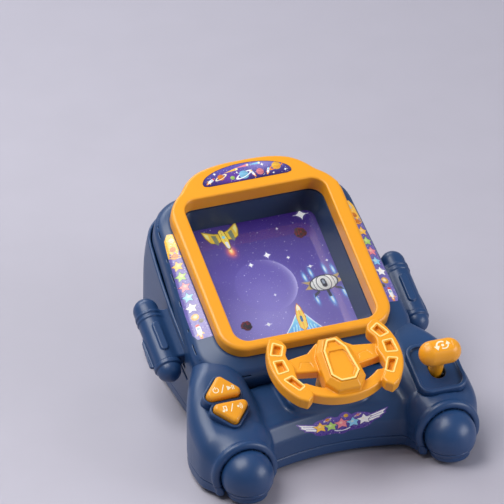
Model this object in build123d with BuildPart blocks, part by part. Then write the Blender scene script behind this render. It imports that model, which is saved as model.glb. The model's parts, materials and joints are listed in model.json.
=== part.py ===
from build123d import *
import os, math

os.makedirs("parts", exist_ok=True)

# ---------------------------------------------------------------- driving dimensions (mm)
# Frame: X to the player's right, Y to the rear, Z up. The origin is on the table under the
# middle of the toy's bounding box. Y0 is the line through the two front ball feet.
Y0 = -93.9                 # fore-aft place of the ball-foot centres
FOOT_X, FOOT_R = 68.7, 16.7
COWL_R = 20.3              # rounded cowl round each ball foot
PART_Z = 10.2              # parting line between the bottom and the upper shells
BASE_Z = 3.0               # underside of the bottom shell
WALL = 2.2                 # shell wall

SCREEN_TILT, SCREEN_Y, SCREEN_Z = 24.0, Y0 + 118.5, 89.7
WHEEL_TILT, WHEEL_Y, WHEEL_Z = 19.0, Y0 + 25.5, 75.2
LEVER_TILT, LEVER_X, LEVER_Y, LEVER_Z = 23.0, 70.7, Y0 + 30.0, 50.2
BUTTON_TILT, BUTTON_X, BUTTON_Y, BUTTON_Z = 30.0, -70.0, Y0 + 33.3, 52.6

FRAME_W, FRAME_H, FRAME_R = 117.0, 123.5, 17.0      # yellow screen frame, outside
OPEN_W, OPEN_H, OPEN_R = 97.0, 113.5, 9.5           # and its opening
FRAME_MID, OPEN_MID = 4.25, 5.75                    # their middles, up the slope from the plane's origin
FRAME_T, FRAME_DEEP = 9.0, 13.0                     # face to housing, face to inner lip
ARCH_TOP = 87.2                                     # top of the arched title panel above the frame
SHROUD_DEEP = 31.0                                  # face of the frame down to the display

WHEEL_R = 43.5
SHAFT_D, BUSH_D, BUSH_FLANGE_D = 5.0, 9.0, 10.6
POD_Y, POD_Z = Y0 + 32.0, 38.7    # front top edge of the pod
STEM_D = 9.4
KNOB_L, KNOB_D = 28.0, 16.4
BOOST_R, BOOST_L = 8.3, 64.0

RUN = 0.05                 # radial running clearance of the shafts
CELL_D, CELL_L = 14.2, 49.5
REAR_BOSS = [(60, Y0 + 85), (-60, Y0 + 85), (50, Y0 + 185), (-50, Y0 + 185)]
FRONT_BOSS = [(36, Y0 + 43), (-36, Y0 + 43)]
SCREW_XY = REAR_BOSS + FRONT_BOSS
BASE_SCREW = 3.4           # depth of the screw-head counterbore


def tilted(x, y, z, tilt):
    """Plane facing the player: local x to the right, local y up the slope, local z outward."""
    t = math.radians(tilt)
    return Plane(origin=(x, y, z), x_dir=(1, 0, 0), z_dir=(0, -math.sin(t), math.cos(t)))


SCREEN = tilted(0, SCREEN_Y, SCREEN_Z, SCREEN_TILT)
WHEEL = tilted(0, WHEEL_Y, WHEEL_Z, WHEEL_TILT)
LEVER = tilted(LEVER_X, LEVER_Y, LEVER_Z, LEVER_TILT)
BUTTONS = tilted(BUTTON_X, BUTTON_Y, BUTTON_Z, BUTTON_TILT)
SIDE = Plane.YZ            # local x = Y, local y = Z, normal = +X

POD_TOP = (Vector(0, POD_Y, POD_Z) - WHEEL.origin).dot(WHEEL.z_dir)    # pod top below the wheel
COLUMN_END = POD_TOP + 1.6

# upper and lower button centres on the button plane (x, y)
BTN_UP, BTN_LOW = (-1.1, 9.1), (0.6, -9.1)
BTN_TOP = 4.0              # button top above the button plane
BTN_W2, BTN_H, BTN_R = 15.5, 16.4, 3.2    # corner-to-corner half base, height, corner radius


def triangle(centre, up, grow):
    """Corner points of a button triangle grown by grow, about the middle of its height."""
    bx, by = centre
    k = BTN_W2 * BTN_H / (BTN_W2 + math.hypot(BTN_W2, BTN_H))      # inscribed radius
    f = (k + grow) / k
    base, apex = -7.3, -7.3 + BTN_H
    c = base + k
    return [(bx - BTN_W2 * f, by + up * (c + (base - c) * f)), (bx + BTN_W2 * f, by + up * (c + (base - c) * f)),
            (bx, by + up * (c + (apex - c) * f))]


def export(part, name):
    part.label = name
    export_step(part, "parts/" + name + ".step")


# ================================================================ helper solids of the shells
# Plan of one side mound (arm), right-hand side: outer side, rear edge, inner side.
# d moves the outline inwards for the hollow.
def mound_plan(d):
    outer = Spline((49.5 + d, Y0 + 10), (56 + d * 0.3, Y0 + 5.5 + d), (82 - d * 0.3, Y0 + 5.5 + d), (92.5 - d, Y0 + 14),
                   (94.3 - d, Y0 + 30), (92 - d, Y0 + 47), (84.5 - d, Y0 + 66 - d * 0.4), (72 - d * 0.6, Y0 + 91 - d))
    rear = Line(outer @ 1, (50 + d, Y0 + 91 - d))
    Spline(rear @ 1, (46.5 + d, Y0 + 62), (46.5 + d, Y0 + 30), outer @ 0)


def mound_side(d):
    top = Spline((Y0 - 10, 30 - d), (Y0 + 8, 37 - d), (Y0 + 31, 44.8 - d), (Y0 + 50, 51.5 - d),
                 (Y0 + 66, 55.5 - d), (Y0 + 92, 56 - d))
    Polyline([top @ 1, (Y0 + 92, 0), (Y0 - 10, 0), top @ 0])


def mound_top_edges(part):
    return part.faces().filter_by(lambda f: f.normal_at().Z > 0.5).edges()


with BuildPart() as mound_outer:
    with BuildSketch(Plane.XY.offset(PART_Z)):
        with BuildLine():
            mound_plan(0)
        make_face()
    extrude(amount=60)
    with BuildSketch(SIDE.offset(40)):
        with BuildLine():
            mound_side(0)
        make_face()
    extrude(amount=60, mode=Mode.INTERSECT)
    fillet(mound_top_edges(mound_outer.part), 10.0)

with BuildPart() as mound_inner:
    with BuildSketch(Plane.XY.offset(PART_Z - 1)):
        with BuildLine():
            mound_plan(WALL)
        make_face()
    extrude(amount=60)
    with BuildSketch(SIDE.offset(40)):
        with BuildLine():
            mound_side(2.4)
        make_face()
    extrude(amount=60, mode=Mode.INTERSECT)
    fillet(mound_top_edges(mound_inner.part), 8.0)

# Cowl round a ball foot, with the ball in front of it, and the hollow behind them.
with BuildPart() as cowl_outer:
    with BuildSketch(Plane.XZ.offset(-(Y0 + 2.8))):
        with Locations((FOOT_X, FOOT_R)):
            Circle(COWL_R)
    extrude(amount=-26)
    fillet(edges().filter_by(GeomType.CIRCLE).sort_by(Axis.Y)[0], 2.4)
    with Locations((FOOT_X, Y0, FOOT_R)):
        Sphere(FOOT_R)

with BuildPart() as cowl_inner:
    with BuildSketch(Plane.XZ.offset(-(Y0 + 10))):
        with Locations((FOOT_X, FOOT_R)):
            Circle(COWL_R - WALL)
    extrude(amount=-30)
    with Locations((FOOT_X, Y0, FOOT_R)):
        Sphere(FOOT_R - WALL)
    with BuildSketch(Plane.XZ.offset(-Y0)):
        with Locations((FOOT_X, FOOT_R)):
            Circle(FOOT_R - WALL)
    extrude(amount=-12)

# Middle of the front body: apron, valley and the pod that carries the steering column.
APRON = [(24.6, PART_Z), (25.4, 22), (30.5, 32.5), (40, 35), (56, 37), (72, 40), (72, PART_Z)]
APRON_IN = [(27.0, PART_Z), (27.8, 21.4), (32.0, 30.2), (40, 32.6), (56, 34.6), (72.1, 37.6), (72.1, PART_Z)]
with BuildPart() as apron_outer:
    with BuildSketch(SIDE.offset(-52)):
        with BuildLine():
            Polyline([(y + Y0, z) for y, z in APRON], close=True)
        make_face()
    extrude(amount=104)
    fillet(edges().filter_by(Axis.X).filter_by(lambda e: e.center().Z > 20 and e.center().Y < Y0 + 35), 5)
    # pod: flat-topped step with rounded corners
    with BuildSketch(Plane.XY.offset(20)):
        with Locations((0, POD_Y + 20)):
            RectangleRounded(56, 40, 7)
    extrude(amount=60)
    split(bisect_by=tilted(0, POD_Y, POD_Z, WHEEL_TILT), keep=Keep.BOTTOM)

with BuildPart() as apron_inner:
    with BuildSketch(SIDE.offset(-54)):
        with BuildLine():
            Polyline([(y + Y0, z) for y, z in APRON_IN], close=True)
        make_face()
    extrude(amount=108)
    with BuildSketch(Plane.XY.offset(20)):
        with Locations((0, POD_Y + 2.2 + 20)):
            RectangleRounded(51.6, 40, 5)
    extrude(amount=60)
    split(bisect_by=tilted(0, POD_Y, POD_Z - 2.4, WHEEL_TILT), keep=Keep.BOTTOM)

# Screen housing outline on the screen plane (tapered, big corners); d shrinks it.
def housing_outline(d):
    return [(-76 + d, -70 + d), (76 - d, -70 + d), (66 - d, 76 - d), (-66 + d, 76 - d)]

HOUSE_TOP, HOUSE_SPLIT = -FRAME_T, -27.5
with BuildPart() as house_outer:
    with BuildSketch(SCREEN.offset(HOUSE_SPLIT)):
        with BuildLine():
            Polyline(housing_outline(0), close=True)
        make_face()
        fillet(vertices(), 27)
    extrude(amount=HOUSE_TOP - HOUSE_SPLIT)
    fillet(faces().sort_by(Axis.Z)[-1].edges(), 3.0)

with BuildPart() as house_inner:
    with BuildSketch(SCREEN.offset(HOUSE_SPLIT - 1)):
        with BuildLine():
            Polyline(housing_outline(2.4), close=True)
        make_face()
        fillet(vertices(), 24.6)
    extrude(amount=HOUSE_TOP - HOUSE_SPLIT + 1 - 2.4)

# Rear housing: upright tub under the screen housing, cut off along the split plane.
REAR_W, REAR_Y1, REAR_Y2 = 73.0, Y0 + 62, Y0 + 204.5
def rear_rect(d):
    return RectangleRounded(2 * (REAR_W - d), REAR_Y2 - REAR_Y1 - 2 * d, 24 - d)

with BuildPart() as rear_outer:
    with BuildSketch(Plane.XY.offset(PART_Z)):
        with Locations((0, (REAR_Y1 + REAR_Y2) / 2)):
            rear_rect(0)
    extrude(amount=110)
    split(bisect_by=SCREEN.offset(HOUSE_SPLIT), keep=Keep.BOTTOM)
    # keep the tub inside the outline of the screen housing at the seam
    with BuildSketch(SCREEN.offset(HOUSE_SPLIT - 100)):
        with BuildLine():
            Polyline([(-86, -110), (86, -110), (67.5, 76), (-67.5, 76)], close=True)
        make_face()
        fillet(vertices().group_by(Axis.Y)[-1], 24)
    extrude(amount=101, mode=Mode.INTERSECT)

with BuildPart() as rear_inner:
    with BuildSketch(Plane.XY.offset(PART_Z)):
        with Locations((0, (REAR_Y1 + REAR_Y2) / 2)):
            rear_rect(WALL)
    extrude(amount=110)
    with BuildSketch(SCREEN.offset(HOUSE_SPLIT - 100)):
        with BuildLine():
            Polyline([(-83.6, -107), (83.6, -107), (65.1, 73.6), (-65.1, 73.6)], close=True)
        make_face()
        fillet(vertices().group_by(Axis.Y)[-1], 21.6)
    extrude(amount=101, mode=Mode.INTERSECT)

# ================================================================ bottom shell
# Floor tray with the lower halves of the ball feet and cowls, and the battery well.
WELL_X, WELL_Y, WELL_H = 30.5, (Y0 + 104.0, Y0 + 158.0), 19.5
with BuildPart() as bottom_shell:
    with BuildSketch(Plane.XY.offset(BASE_Z)):
        with Locations((0, (REAR_Y1 + REAR_Y2) / 2)):
            rear_rect(0)
        with BuildLine():
            mound_plan(0)
        make_face()
        mirror(about=Plane.YZ)
        with BuildLine():
            Polyline([(-52, Y0 + 24.6), (52, Y0 + 24.6), (52, Y0 + 80), (-52, Y0 + 80)], close=True)
        make_face()
    extrude(amount=PART_Z - BASE_Z)
    for s in (1, -1):
        with BuildSketch(Plane.XZ.offset(-(Y0 + 4.7))):
            with Locations((s * FOOT_X, FOOT_R)):
                Circle(COWL_R)
        extrude(amount=-10)
    # the cowls end flat at the base plane, the balls reach the table
    with Locations((0, 0, BASE_Z - 10)):
        Box(300, 300, 20, mode=Mode.SUBTRACT)
    for s in (1, -1):
        with Locations((s * FOOT_X, Y0, FOOT_R)):
            Sphere(FOOT_R)
    # nothing above the parting line
    with Locations((0, 0, PART_Z + 30)):
        Box(300, 300, 60, mode=Mode.SUBTRACT)
    # hollow
    with BuildSketch(Plane.XY.offset(BASE_Z + WALL)):
        with Locations((0, (REAR_Y1 + REAR_Y2) / 2)):
            rear_rect(WALL)
        with BuildLine():
            mound_plan(WALL)
        make_face()
        mirror(about=Plane.YZ)
        with BuildLine():
            Polyline([(-54, Y0 + 27), (54, Y0 + 27), (54, Y0 + 80), (-54, Y0 + 80)], close=True)
        make_face()
    extrude(amount=20, mode=Mode.SUBTRACT)
    for s in (1, -1):
        with Locations((s * FOOT_X, Y0, FOOT_R)):
            Sphere(FOOT_R - WALL, mode=Mode.SUBTRACT)
    # battery well: a box standing on the floor, open below for the door
    with BuildSketch(Plane.XY.offset(BASE_Z)):
        with Locations((0, sum(WELL_Y) / 2)):
            Rectangle(2 * WELL_X + 4, WELL_Y[1] - WELL_Y[0] + 4)
    extrude(amount=WELL_H + 2)
    with BuildSketch(Plane.XY.offset(BASE_Z)):
        with Locations((0, sum(WELL_Y) / 2)):
            Rectangle(2 * WELL_X, WELL_Y[1] - WELL_Y[0])
    extrude(amount=WELL_H, mode=Mode.SUBTRACT)
    # screw bosses up from the floor, with countersunk screw passages from below
    with BuildSketch(Plane.XY.offset(BASE_Z)):
        with Locations(*SCREW_XY):
            Circle(4.4)
    extrude(amount=PART_Z - BASE_Z)
    with BuildSketch(Plane.XY.offset(BASE_Z)):
        with Locations(*SCREW_XY):
            Circle(2.9)
    extrude(amount=3.4, mode=Mode.SUBTRACT)
    with BuildSketch(Plane.XY.offset(BASE_Z)):
        with Locations(*SCREW_XY):
            Circle(1.6)
    extrude(amount=20, mode=Mode.SUBTRACT)
    # speaker grille: rows of slots in the floor, ahead of the battery well
    with BuildSketch(Plane.XY.offset(BASE_Z)):
        with Locations((0, Y0 + 76)):
            with GridLocations(0, 4.5, 1, 6):
                SlotOverall(26, 2.0)
    extrude(amount=WALL + 1, mode=Mode.SUBTRACT)
    # lugs that take the foot pads
    # hole for the door screw boss (half-moon lip at the front of the well)
    with BuildSketch(Plane.XY.offset(BASE_Z + 2.2)):
        with Locations((0, WELL_Y[0] - 4.5)):
            Circle(4.0)
    extrude(amount=8)
    with BuildSketch(Plane.XY.offset(BASE_Z)):
        with Locations((0, WELL_Y[0] - 4.5)):
            Circle(1.25)
    extrude(amount=9.0, mode=Mode.SUBTRACT)
    # rebate round the well that the door's tongue and screw tab lie in
    with BuildSketch(Plane.XY.offset(BASE_Z)):
        with Locations((0, WELL_Y[0] - 4.5)):
            RectangleRounded(14, 13, 3)
    extrude(amount=1.6, mode=Mode.SUBTRACT)
export(bottom_shell.part, "bottom_shell")

# ================================================================ front body
with BuildPart() as front_body:
    add(mound_outer.part)
    add(mound_outer.part.mirror(Plane.YZ))
    add(cowl_outer.part)
    add(cowl_outer.part.mirror(Plane.YZ))
    add(apron_outer.part)
    # button collars: two rounded triangular walls standing on the left mound
    for place, up in ((BTN_UP, 1), (BTN_LOW, -1)):
        with BuildSketch(BUTTONS.offset(-9)):
            with BuildLine():
                Polyline(triangle(place, up, 2.1), close=True)
            make_face()
            fillet(vertices(), BTN_R + 2.1)
        extrude(amount=9 - 0.4)
    add(mound_inner.part, mode=Mode.SUBTRACT)
    add(mound_inner.part.mirror(Plane.YZ), mode=Mode.SUBTRACT)
    add(cowl_inner.part, mode=Mode.SUBTRACT)
    add(cowl_inner.part.mirror(Plane.YZ), mode=Mode.SUBTRACT)
    add(apron_inner.part, mode=Mode.SUBTRACT)
    # screw bosses down from the apron's roof, and two posts that hold the steering switch board
    with BuildSketch(Plane.XY.offset(PART_Z)):
        with Locations(*FRONT_BOSS):
            Circle(4.4)
    extrude(amount=24)
    with BuildSketch(WHEEL.offset(-54.6)):
        with Locations((9.8, 16.5), (-9.8, 16.5)):
            Circle(2.2)
    extrude(amount=17)
    with BuildSketch(Plane.XY.offset(PART_Z)):
        with Locations(*FRONT_BOSS):
            Circle(1.2)
    extrude(amount=12, mode=Mode.SUBTRACT)
    # nothing below the parting line, nothing inside the screen housing or the rear tub
    with Locations((0, 0, PART_Z - 30)):
        Box(400, 400, 60, mode=Mode.SUBTRACT)
    add(house_outer.part, mode=Mode.SUBTRACT)
    add(rear_outer.part, mode=Mode.SUBTRACT)
    # button wells through collar and mound
    for place, up in ((BTN_UP, 1), (BTN_LOW, -1)):
        with BuildSketch(BUTTONS.offset(-16)):
            with BuildLine():
                Polyline(triangle(place, up, 0.4), close=True)
            make_face()
            fillet(vertices(), BTN_R + 0.4)
        extrude(amount=20, mode=Mode.SUBTRACT)
    # seat of the lever plate, cut into the right mound
    with BuildSketch(LEVER.offset(-20)):
        RectangleRounded(27.0, 33.0, 5)
    extrude(amount=25, mode=Mode.SUBTRACT)
    with BuildSketch(LEVER.offset(-6)):
        RectangleRounded(32.8, 38.8, 8)
    extrude(amount=20, mode=Mode.SUBTRACT)
    # bore for the steering bush
    with BuildSketch(WHEEL.offset(-60)):
        Circle(BUSH_D / 2)
    extrude(amount=40, mode=Mode.SUBTRACT)
print("front_body solids", [(round(q.volume), q.bounding_box()) for q in front_body.solids()])
export(front_body.part, "front_body")

# ================================================================ screen housing
with BuildPart() as screen_housing:
    add(house_outer.part)
    add(house_inner.part, mode=Mode.SUBTRACT)
    with BuildSketch(SCREEN.offset(-40)):
        with Locations((0, OPEN_MID)):
            RectangleRounded(OPEN_W + 6, OPEN_H + 6, OPEN_R + 3)
    extrude(amount=40, mode=Mode.SUBTRACT)
    # arch-shaped head of the frame drops into a matching notch at the top edge
    # step groove round the seam
    with BuildSketch(SCREEN.offset(-18.6)):
        with BuildLine():
            Polyline(housing_outline(-2), close=True)
        make_face()
        fillet(vertices(), 28)
        with BuildLine():
            Polyline(housing_outline(0.8), close=True)
        make_face(mode=Mode.SUBTRACT)
    extrude(amount=1.2, mode=Mode.SUBTRACT)
print("screen_housing solids", len(screen_housing.solids()))
export(screen_housing.part, "screen_housing")

# ================================================================ rear housing
with BuildPart() as rear_housing:
    add(rear_outer.part)
    add(rear_inner.part, mode=Mode.SUBTRACT)
    # front wall stays only behind the front body
    # louvres low on each side
    for s in (1, -1):
        with BuildSketch(Plane.YZ.offset(s * REAR_W)):
            with Locations((Y0 + 104, 33), (Y0 + 107, 39), (Y0 + 110, 45)):
                SlotOverall(11, 2.0)
        extrude(amount=-s * 1.0, mode=Mode.SUBTRACT)
    # bosses over the rear floor screws
    with BuildSketch(Plane.XY.offset(PART_Z)):
        with Locations(*REAR_BOSS):
            Circle(4.4)
        with Locations((50, Y0 + 193.5), (-50, Y0 + 193.5)):
            Rectangle(3.0, 18.5)
        with Locations((66, Y0 + 85), (-66, Y0 + 85)):
            Rectangle(12.0, 3.0)
    extrude(amount=22)
    with BuildSketch(Plane.XY.offset(PART_Z)):
        with Locations(*REAR_BOSS):
            Circle(1.2)
    extrude(amount=12, mode=Mode.SUBTRACT)
    # open front wall, where the tub meets the hollow front body
    with Locations((0, REAR_Y1, PART_Z + 10)):
        Box(88, 12, 40, mode=Mode.SUBTRACT)
print("rear_housing solids", len(rear_housing.solids()))
export(rear_housing.part, "rear_housing")

# ================================================================ screen: frame, shroud, display stack
ARCH = [(-52, 58), (52, 58), (51, 65), (42, 71.5), (35, 82.5), (27, ARCH_TOP), (-27, ARCH_TOP),
        (-35, 82.5), (-42, 71.5), (-51, 65)]
with BuildPart() as screen_frame:
    with BuildSketch(SCREEN.offset(-FRAME_T)):
        with BuildLine():
            Polyline(ARCH, close=True)
        make_face()
        fillet(vertices().filter_by(lambda v: v.Y > 70), 9)
        with Locations((0, FRAME_MID)):
            RectangleRounded(FRAME_W, FRAME_H, FRAME_R)
    extrude(amount=FRAME_T)
    fillet(faces().filter_by(lambda f: f.normal_at().dot(SCREEN.z_dir) > 0.99).edges(), 2.2)
    with BuildSketch(SCREEN.offset(-FRAME_DEEP)):
        with Locations((0, OPEN_MID)):
            RectangleRounded(OPEN_W + 5.6, OPEN_H + 5.6, OPEN_R + 2.8)
    extrude(amount=FRAME_DEEP - FRAME_T)
    with BuildSketch(SCREEN.offset(-FRAME_DEEP - 1)):
        with Locations((0, OPEN_MID)):
            RectangleRounded(OPEN_W, OPEN_H, OPEN_R)
    extrude(amount=FRAME_DEEP + 2, mode=Mode.SUBTRACT)
export(screen_frame.part, "screen_frame")

LCD_W, LCD_H = 92.0, 108.0
with BuildPart() as screen_shroud:
    with BuildSketch(SCREEN.offset(-SHROUD_DEEP)):
        with Locations((0, OPEN_MID)):
            RectangleRounded(OPEN_W + 4, OPEN_H + 4, OPEN_R + 2)
    extrude(amount=SHROUD_DEEP - FRAME_DEEP - 0.4)
    with BuildSketch(SCREEN.offset(-FRAME_DEEP - 0.4)):
        with Locations((0, OPEN_MID)):
            RectangleRounded(OPEN_W - 0.6, OPEN_H - 0.6, OPEN_R)
    extrude(amount=-(SHROUD_DEEP - FRAME_DEEP), taper=10, mode=Mode.SUBTRACT)
    # posts for the circuit board, outside the display stack
    with BuildSketch(SCREEN.offset(-42)):
        with Locations((48.3, 14), (48.3, -14), (-48.3, 14), (-48.3, -14)):
            Circle(2.1)
    extrude(amount=11.5)
    with BuildSketch(SCREEN.offset(-42)):
        with Locations((48.3, 14), (48.3, -14), (-48.3, 14), (-48.3, -14)):
            Circle(0.8)
    extrude(amount=6, mode=Mode.SUBTRACT)
export(screen_shroud.part, "screen_shroud")

with BuildPart() as screen_window:
    with BuildSketch(SCREEN.offset(-SHROUD_DEEP - 1.0)):
        with Locations((0, OPEN_MID)):
            RectangleRounded(LCD_W, LCD_H, 3)
    extrude(amount=1.0)
export(screen_window.part, "screen_window")

with BuildPart() as lcd_panel:
    with BuildSketch(SCREEN.offset(-SHROUD_DEEP - 3.2)):
        with Locations((0, OPEN_MID)):
            Rectangle(LCD_W, LCD_H)
    extrude(amount=2.0)
export(lcd_panel.part, "lcd_panel")

with BuildPart() as backdrop_film:
    with BuildSketch(SCREEN.offset(-SHROUD_DEEP - 3.6)):
        with Locations((0, OPEN_MID)):
            Rectangle(LCD_W - 2, LCD_H - 2)
    extrude(amount=0.3)
export(backdrop_film.part, "backdrop_film")

with BuildPart() as backlight:
    with BuildSketch(SCREEN.offset(-SHROUD_DEEP - 7.0)):
        with Locations((0, OPEN_MID)):
            RectangleRounded(LCD_W, LCD_H, 2)
    extrude(amount=3.2)
    with BuildSketch(SCREEN.offset(-SHROUD_DEEP - 5.0)):
        with Locations((0, OPEN_MID)):
            RectangleRounded(LCD_W - 10, LCD_H - 10, 2)
    extrude(amount=3.0, mode=Mode.SUBTRACT)
export(backlight.part, "backlight")

with BuildPart() as main_board:
    with BuildSketch(SCREEN.offset(-43.6)):
        Rectangle(101, 36)
        with Locations((48.3, 14), (48.3, -14), (-48.3, 14), (-48.3, -14)):
            Circle(1.2, mode=Mode.SUBTRACT)
    extrude(amount=1.6)
export(main_board.part, "main_board")

with BuildPart() as driver_chip:
    with BuildSketch(SCREEN.offset(-45.4)):
        with Locations((6, 2)):
            RectangleRounded(13, 13, 3)
    extrude(amount=1.8)
    chamfer(faces().filter_by(lambda f: f.normal_at().dot(SCREEN.z_dir) < -0.99).edges(), 0.8)
export(driver_chip.part, "driver_chip")

with BuildPart() as board_screws:
    with BuildSketch(SCREEN.offset(-45.0)):
        with Locations((48.3, 14), (48.3, -14), (-48.3, 14), (-48.3, -14)):
            Circle(1.9)
    extrude(amount=1.4)
    with BuildSketch(SCREEN.offset(-43.6)):
        with Locations((48.3, 14), (48.3, -14), (-48.3, 14), (-48.3, -14)):
            Circle(0.8)
    extrude(amount=7)
export(board_screws.part, "board_screws")

with BuildPart() as display_flex:
    with BuildSketch(SCREEN.offset(-SHROUD_DEEP - 2.3)):
        with Locations((0, OPEN_MID - LCD_H / 2 - 1.2)):
            Rectangle(34, 2.4)
    extrude(amount=0.3)
    with BuildSketch(SCREEN.offset(-42.0)):
        with Locations((0, OPEN_MID - LCD_H / 2 - 2.25)):
            Rectangle(34, 0.3)
    extrude(amount=9.0)
    with BuildSketch(SCREEN.offset(-42.0)):
        with Locations((0, -33.825)):
            Rectangle(34, 33.65)
    extrude(amount=0.3)
print("flex solids", len(display_flex.solids()))
export(display_flex.part, "display_flex")

# ================================================================ stickers
with BuildPart() as marquee_sticker:
    with BuildSketch(SCREEN):
        with BuildLine():
            Polyline([(-30, 69.8), (30, 69.8), (30, 75.5), (21, 82.8), (-21, 82.8), (-30, 75.5)], close=True)
        make_face()
        fillet(vertices(), 2.5)
    extrude(amount=0.15)
export(marquee_sticker.part, "marquee_sticker")

for name, s in (("side_sticker_left", -1), ("side_sticker_right", 1)):
    with BuildPart() as strip:
        with BuildSketch(SCREEN.offset(-FRAME_T)):
            with BuildLine():
                Polyline([(s * 58.9, -38), (s * 68.4, -38), (s * 66.2, 10), (s * 63.6, 44), (s * 58.9, 46)], close=True)
            make_face()
        extrude(amount=0.15)
    export(strip.part, name)

APRON_FACE = Plane(origin=(0, Y0 + 27.67, 26.68), x_dir=(1, 0, 0),
                   z_dir=(0, -(32.5 - 22), (30.5 - 25.4)))
with BuildPart() as front_sticker:
    with BuildSketch(APRON_FACE):
        RectangleRounded(58, 7.6, 2.5)
    extrude(amount=0.15)
export(front_sticker.part, "front_sticker")

# ================================================================ boosters on the sides
BOOST_C = (85.0, Y0 + 120.8, 49.6)
def boost_axis(s):
    t = math.radians(SCREEN_TILT)
    return Plane(origin=(s * BOOST_C[0], BOOST_C[1], BOOST_C[2]), x_dir=(s, 0, 0),
                 z_dir=(0, math.cos(t), math.sin(t)))

def boost_top(s):
    """Plane through the booster, local x along its axis, local z square to the slope."""
    t = math.radians(SCREEN_TILT)
    return Plane(origin=(s * BOOST_C[0], BOOST_C[1], BOOST_C[2]), x_dir=(0, math.cos(t), math.sin(t)),
                 z_dir=(0, -math.sin(t), math.cos(t)))


for side, s in (("left", -1), ("right", 1)):
    ax = boost_axis(s)
    with BuildPart() as booster:
        with BuildSketch(ax.offset(-19.2)):
            Circle(BOOST_R)
        extrude(amount=19.2 + BOOST_L / 2 - BOOST_R)
        with Locations(ax.offset(BOOST_L / 2 - BOOST_R).origin):
            Sphere(BOOST_R)
        # two bands near the nose
        for t in (14.0, 17.5):
            with BuildSketch(ax.offset(t)):
                Circle(BOOST_R + 0.5)
            extrude(amount=1.6)
        # pylon that carries the booster on the housing side
        with BuildSketch(ax.offset(-18)):
            with Locations((-9.0, 0)):
                Rectangle(18, 11)
        extrude(amount=38)
        # fin on the outer side
        with BuildSketch(boost_top(s).offset(-3.8)):
            with BuildLine():
                Polyline([(-18, -s * 4), (4, -s * 4), (2, -s * 9.6), (-12, -s * 10.6), (-18, -s * 10.6)], close=True)
            make_face()
        extrude(amount=2.6)
        # raised pill on the upper face
        with BuildSketch(boost_top(s).offset(4)):
            with Locations((-2, 0)):
                SlotOverall(22, 5.2)
        extrude(amount=5.6)
        add(rear_outer.part, mode=Mode.SUBTRACT)
    print("booster", side, len(booster.solids()))
    export(booster.part, "booster_" + side)
    with BuildPart() as nozzle:
        with BuildSketch(ax.offset(-22.6)):
            Circle(BOOST_R + 0.7)
        extrude(amount=3.4)
        with BuildSketch(ax.offset(-24.0)):
            Circle(BOOST_R - 0.4)
        extrude(amount=1.6)
        with Locations(ax.offset(-24.0).origin):
            Sphere(BOOST_R - 0.4)
        split(bisect_by=ax.offset(-19.2), keep=Keep.BOTTOM)
    export(nozzle.part, "booster_nozzle_" + side)

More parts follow.
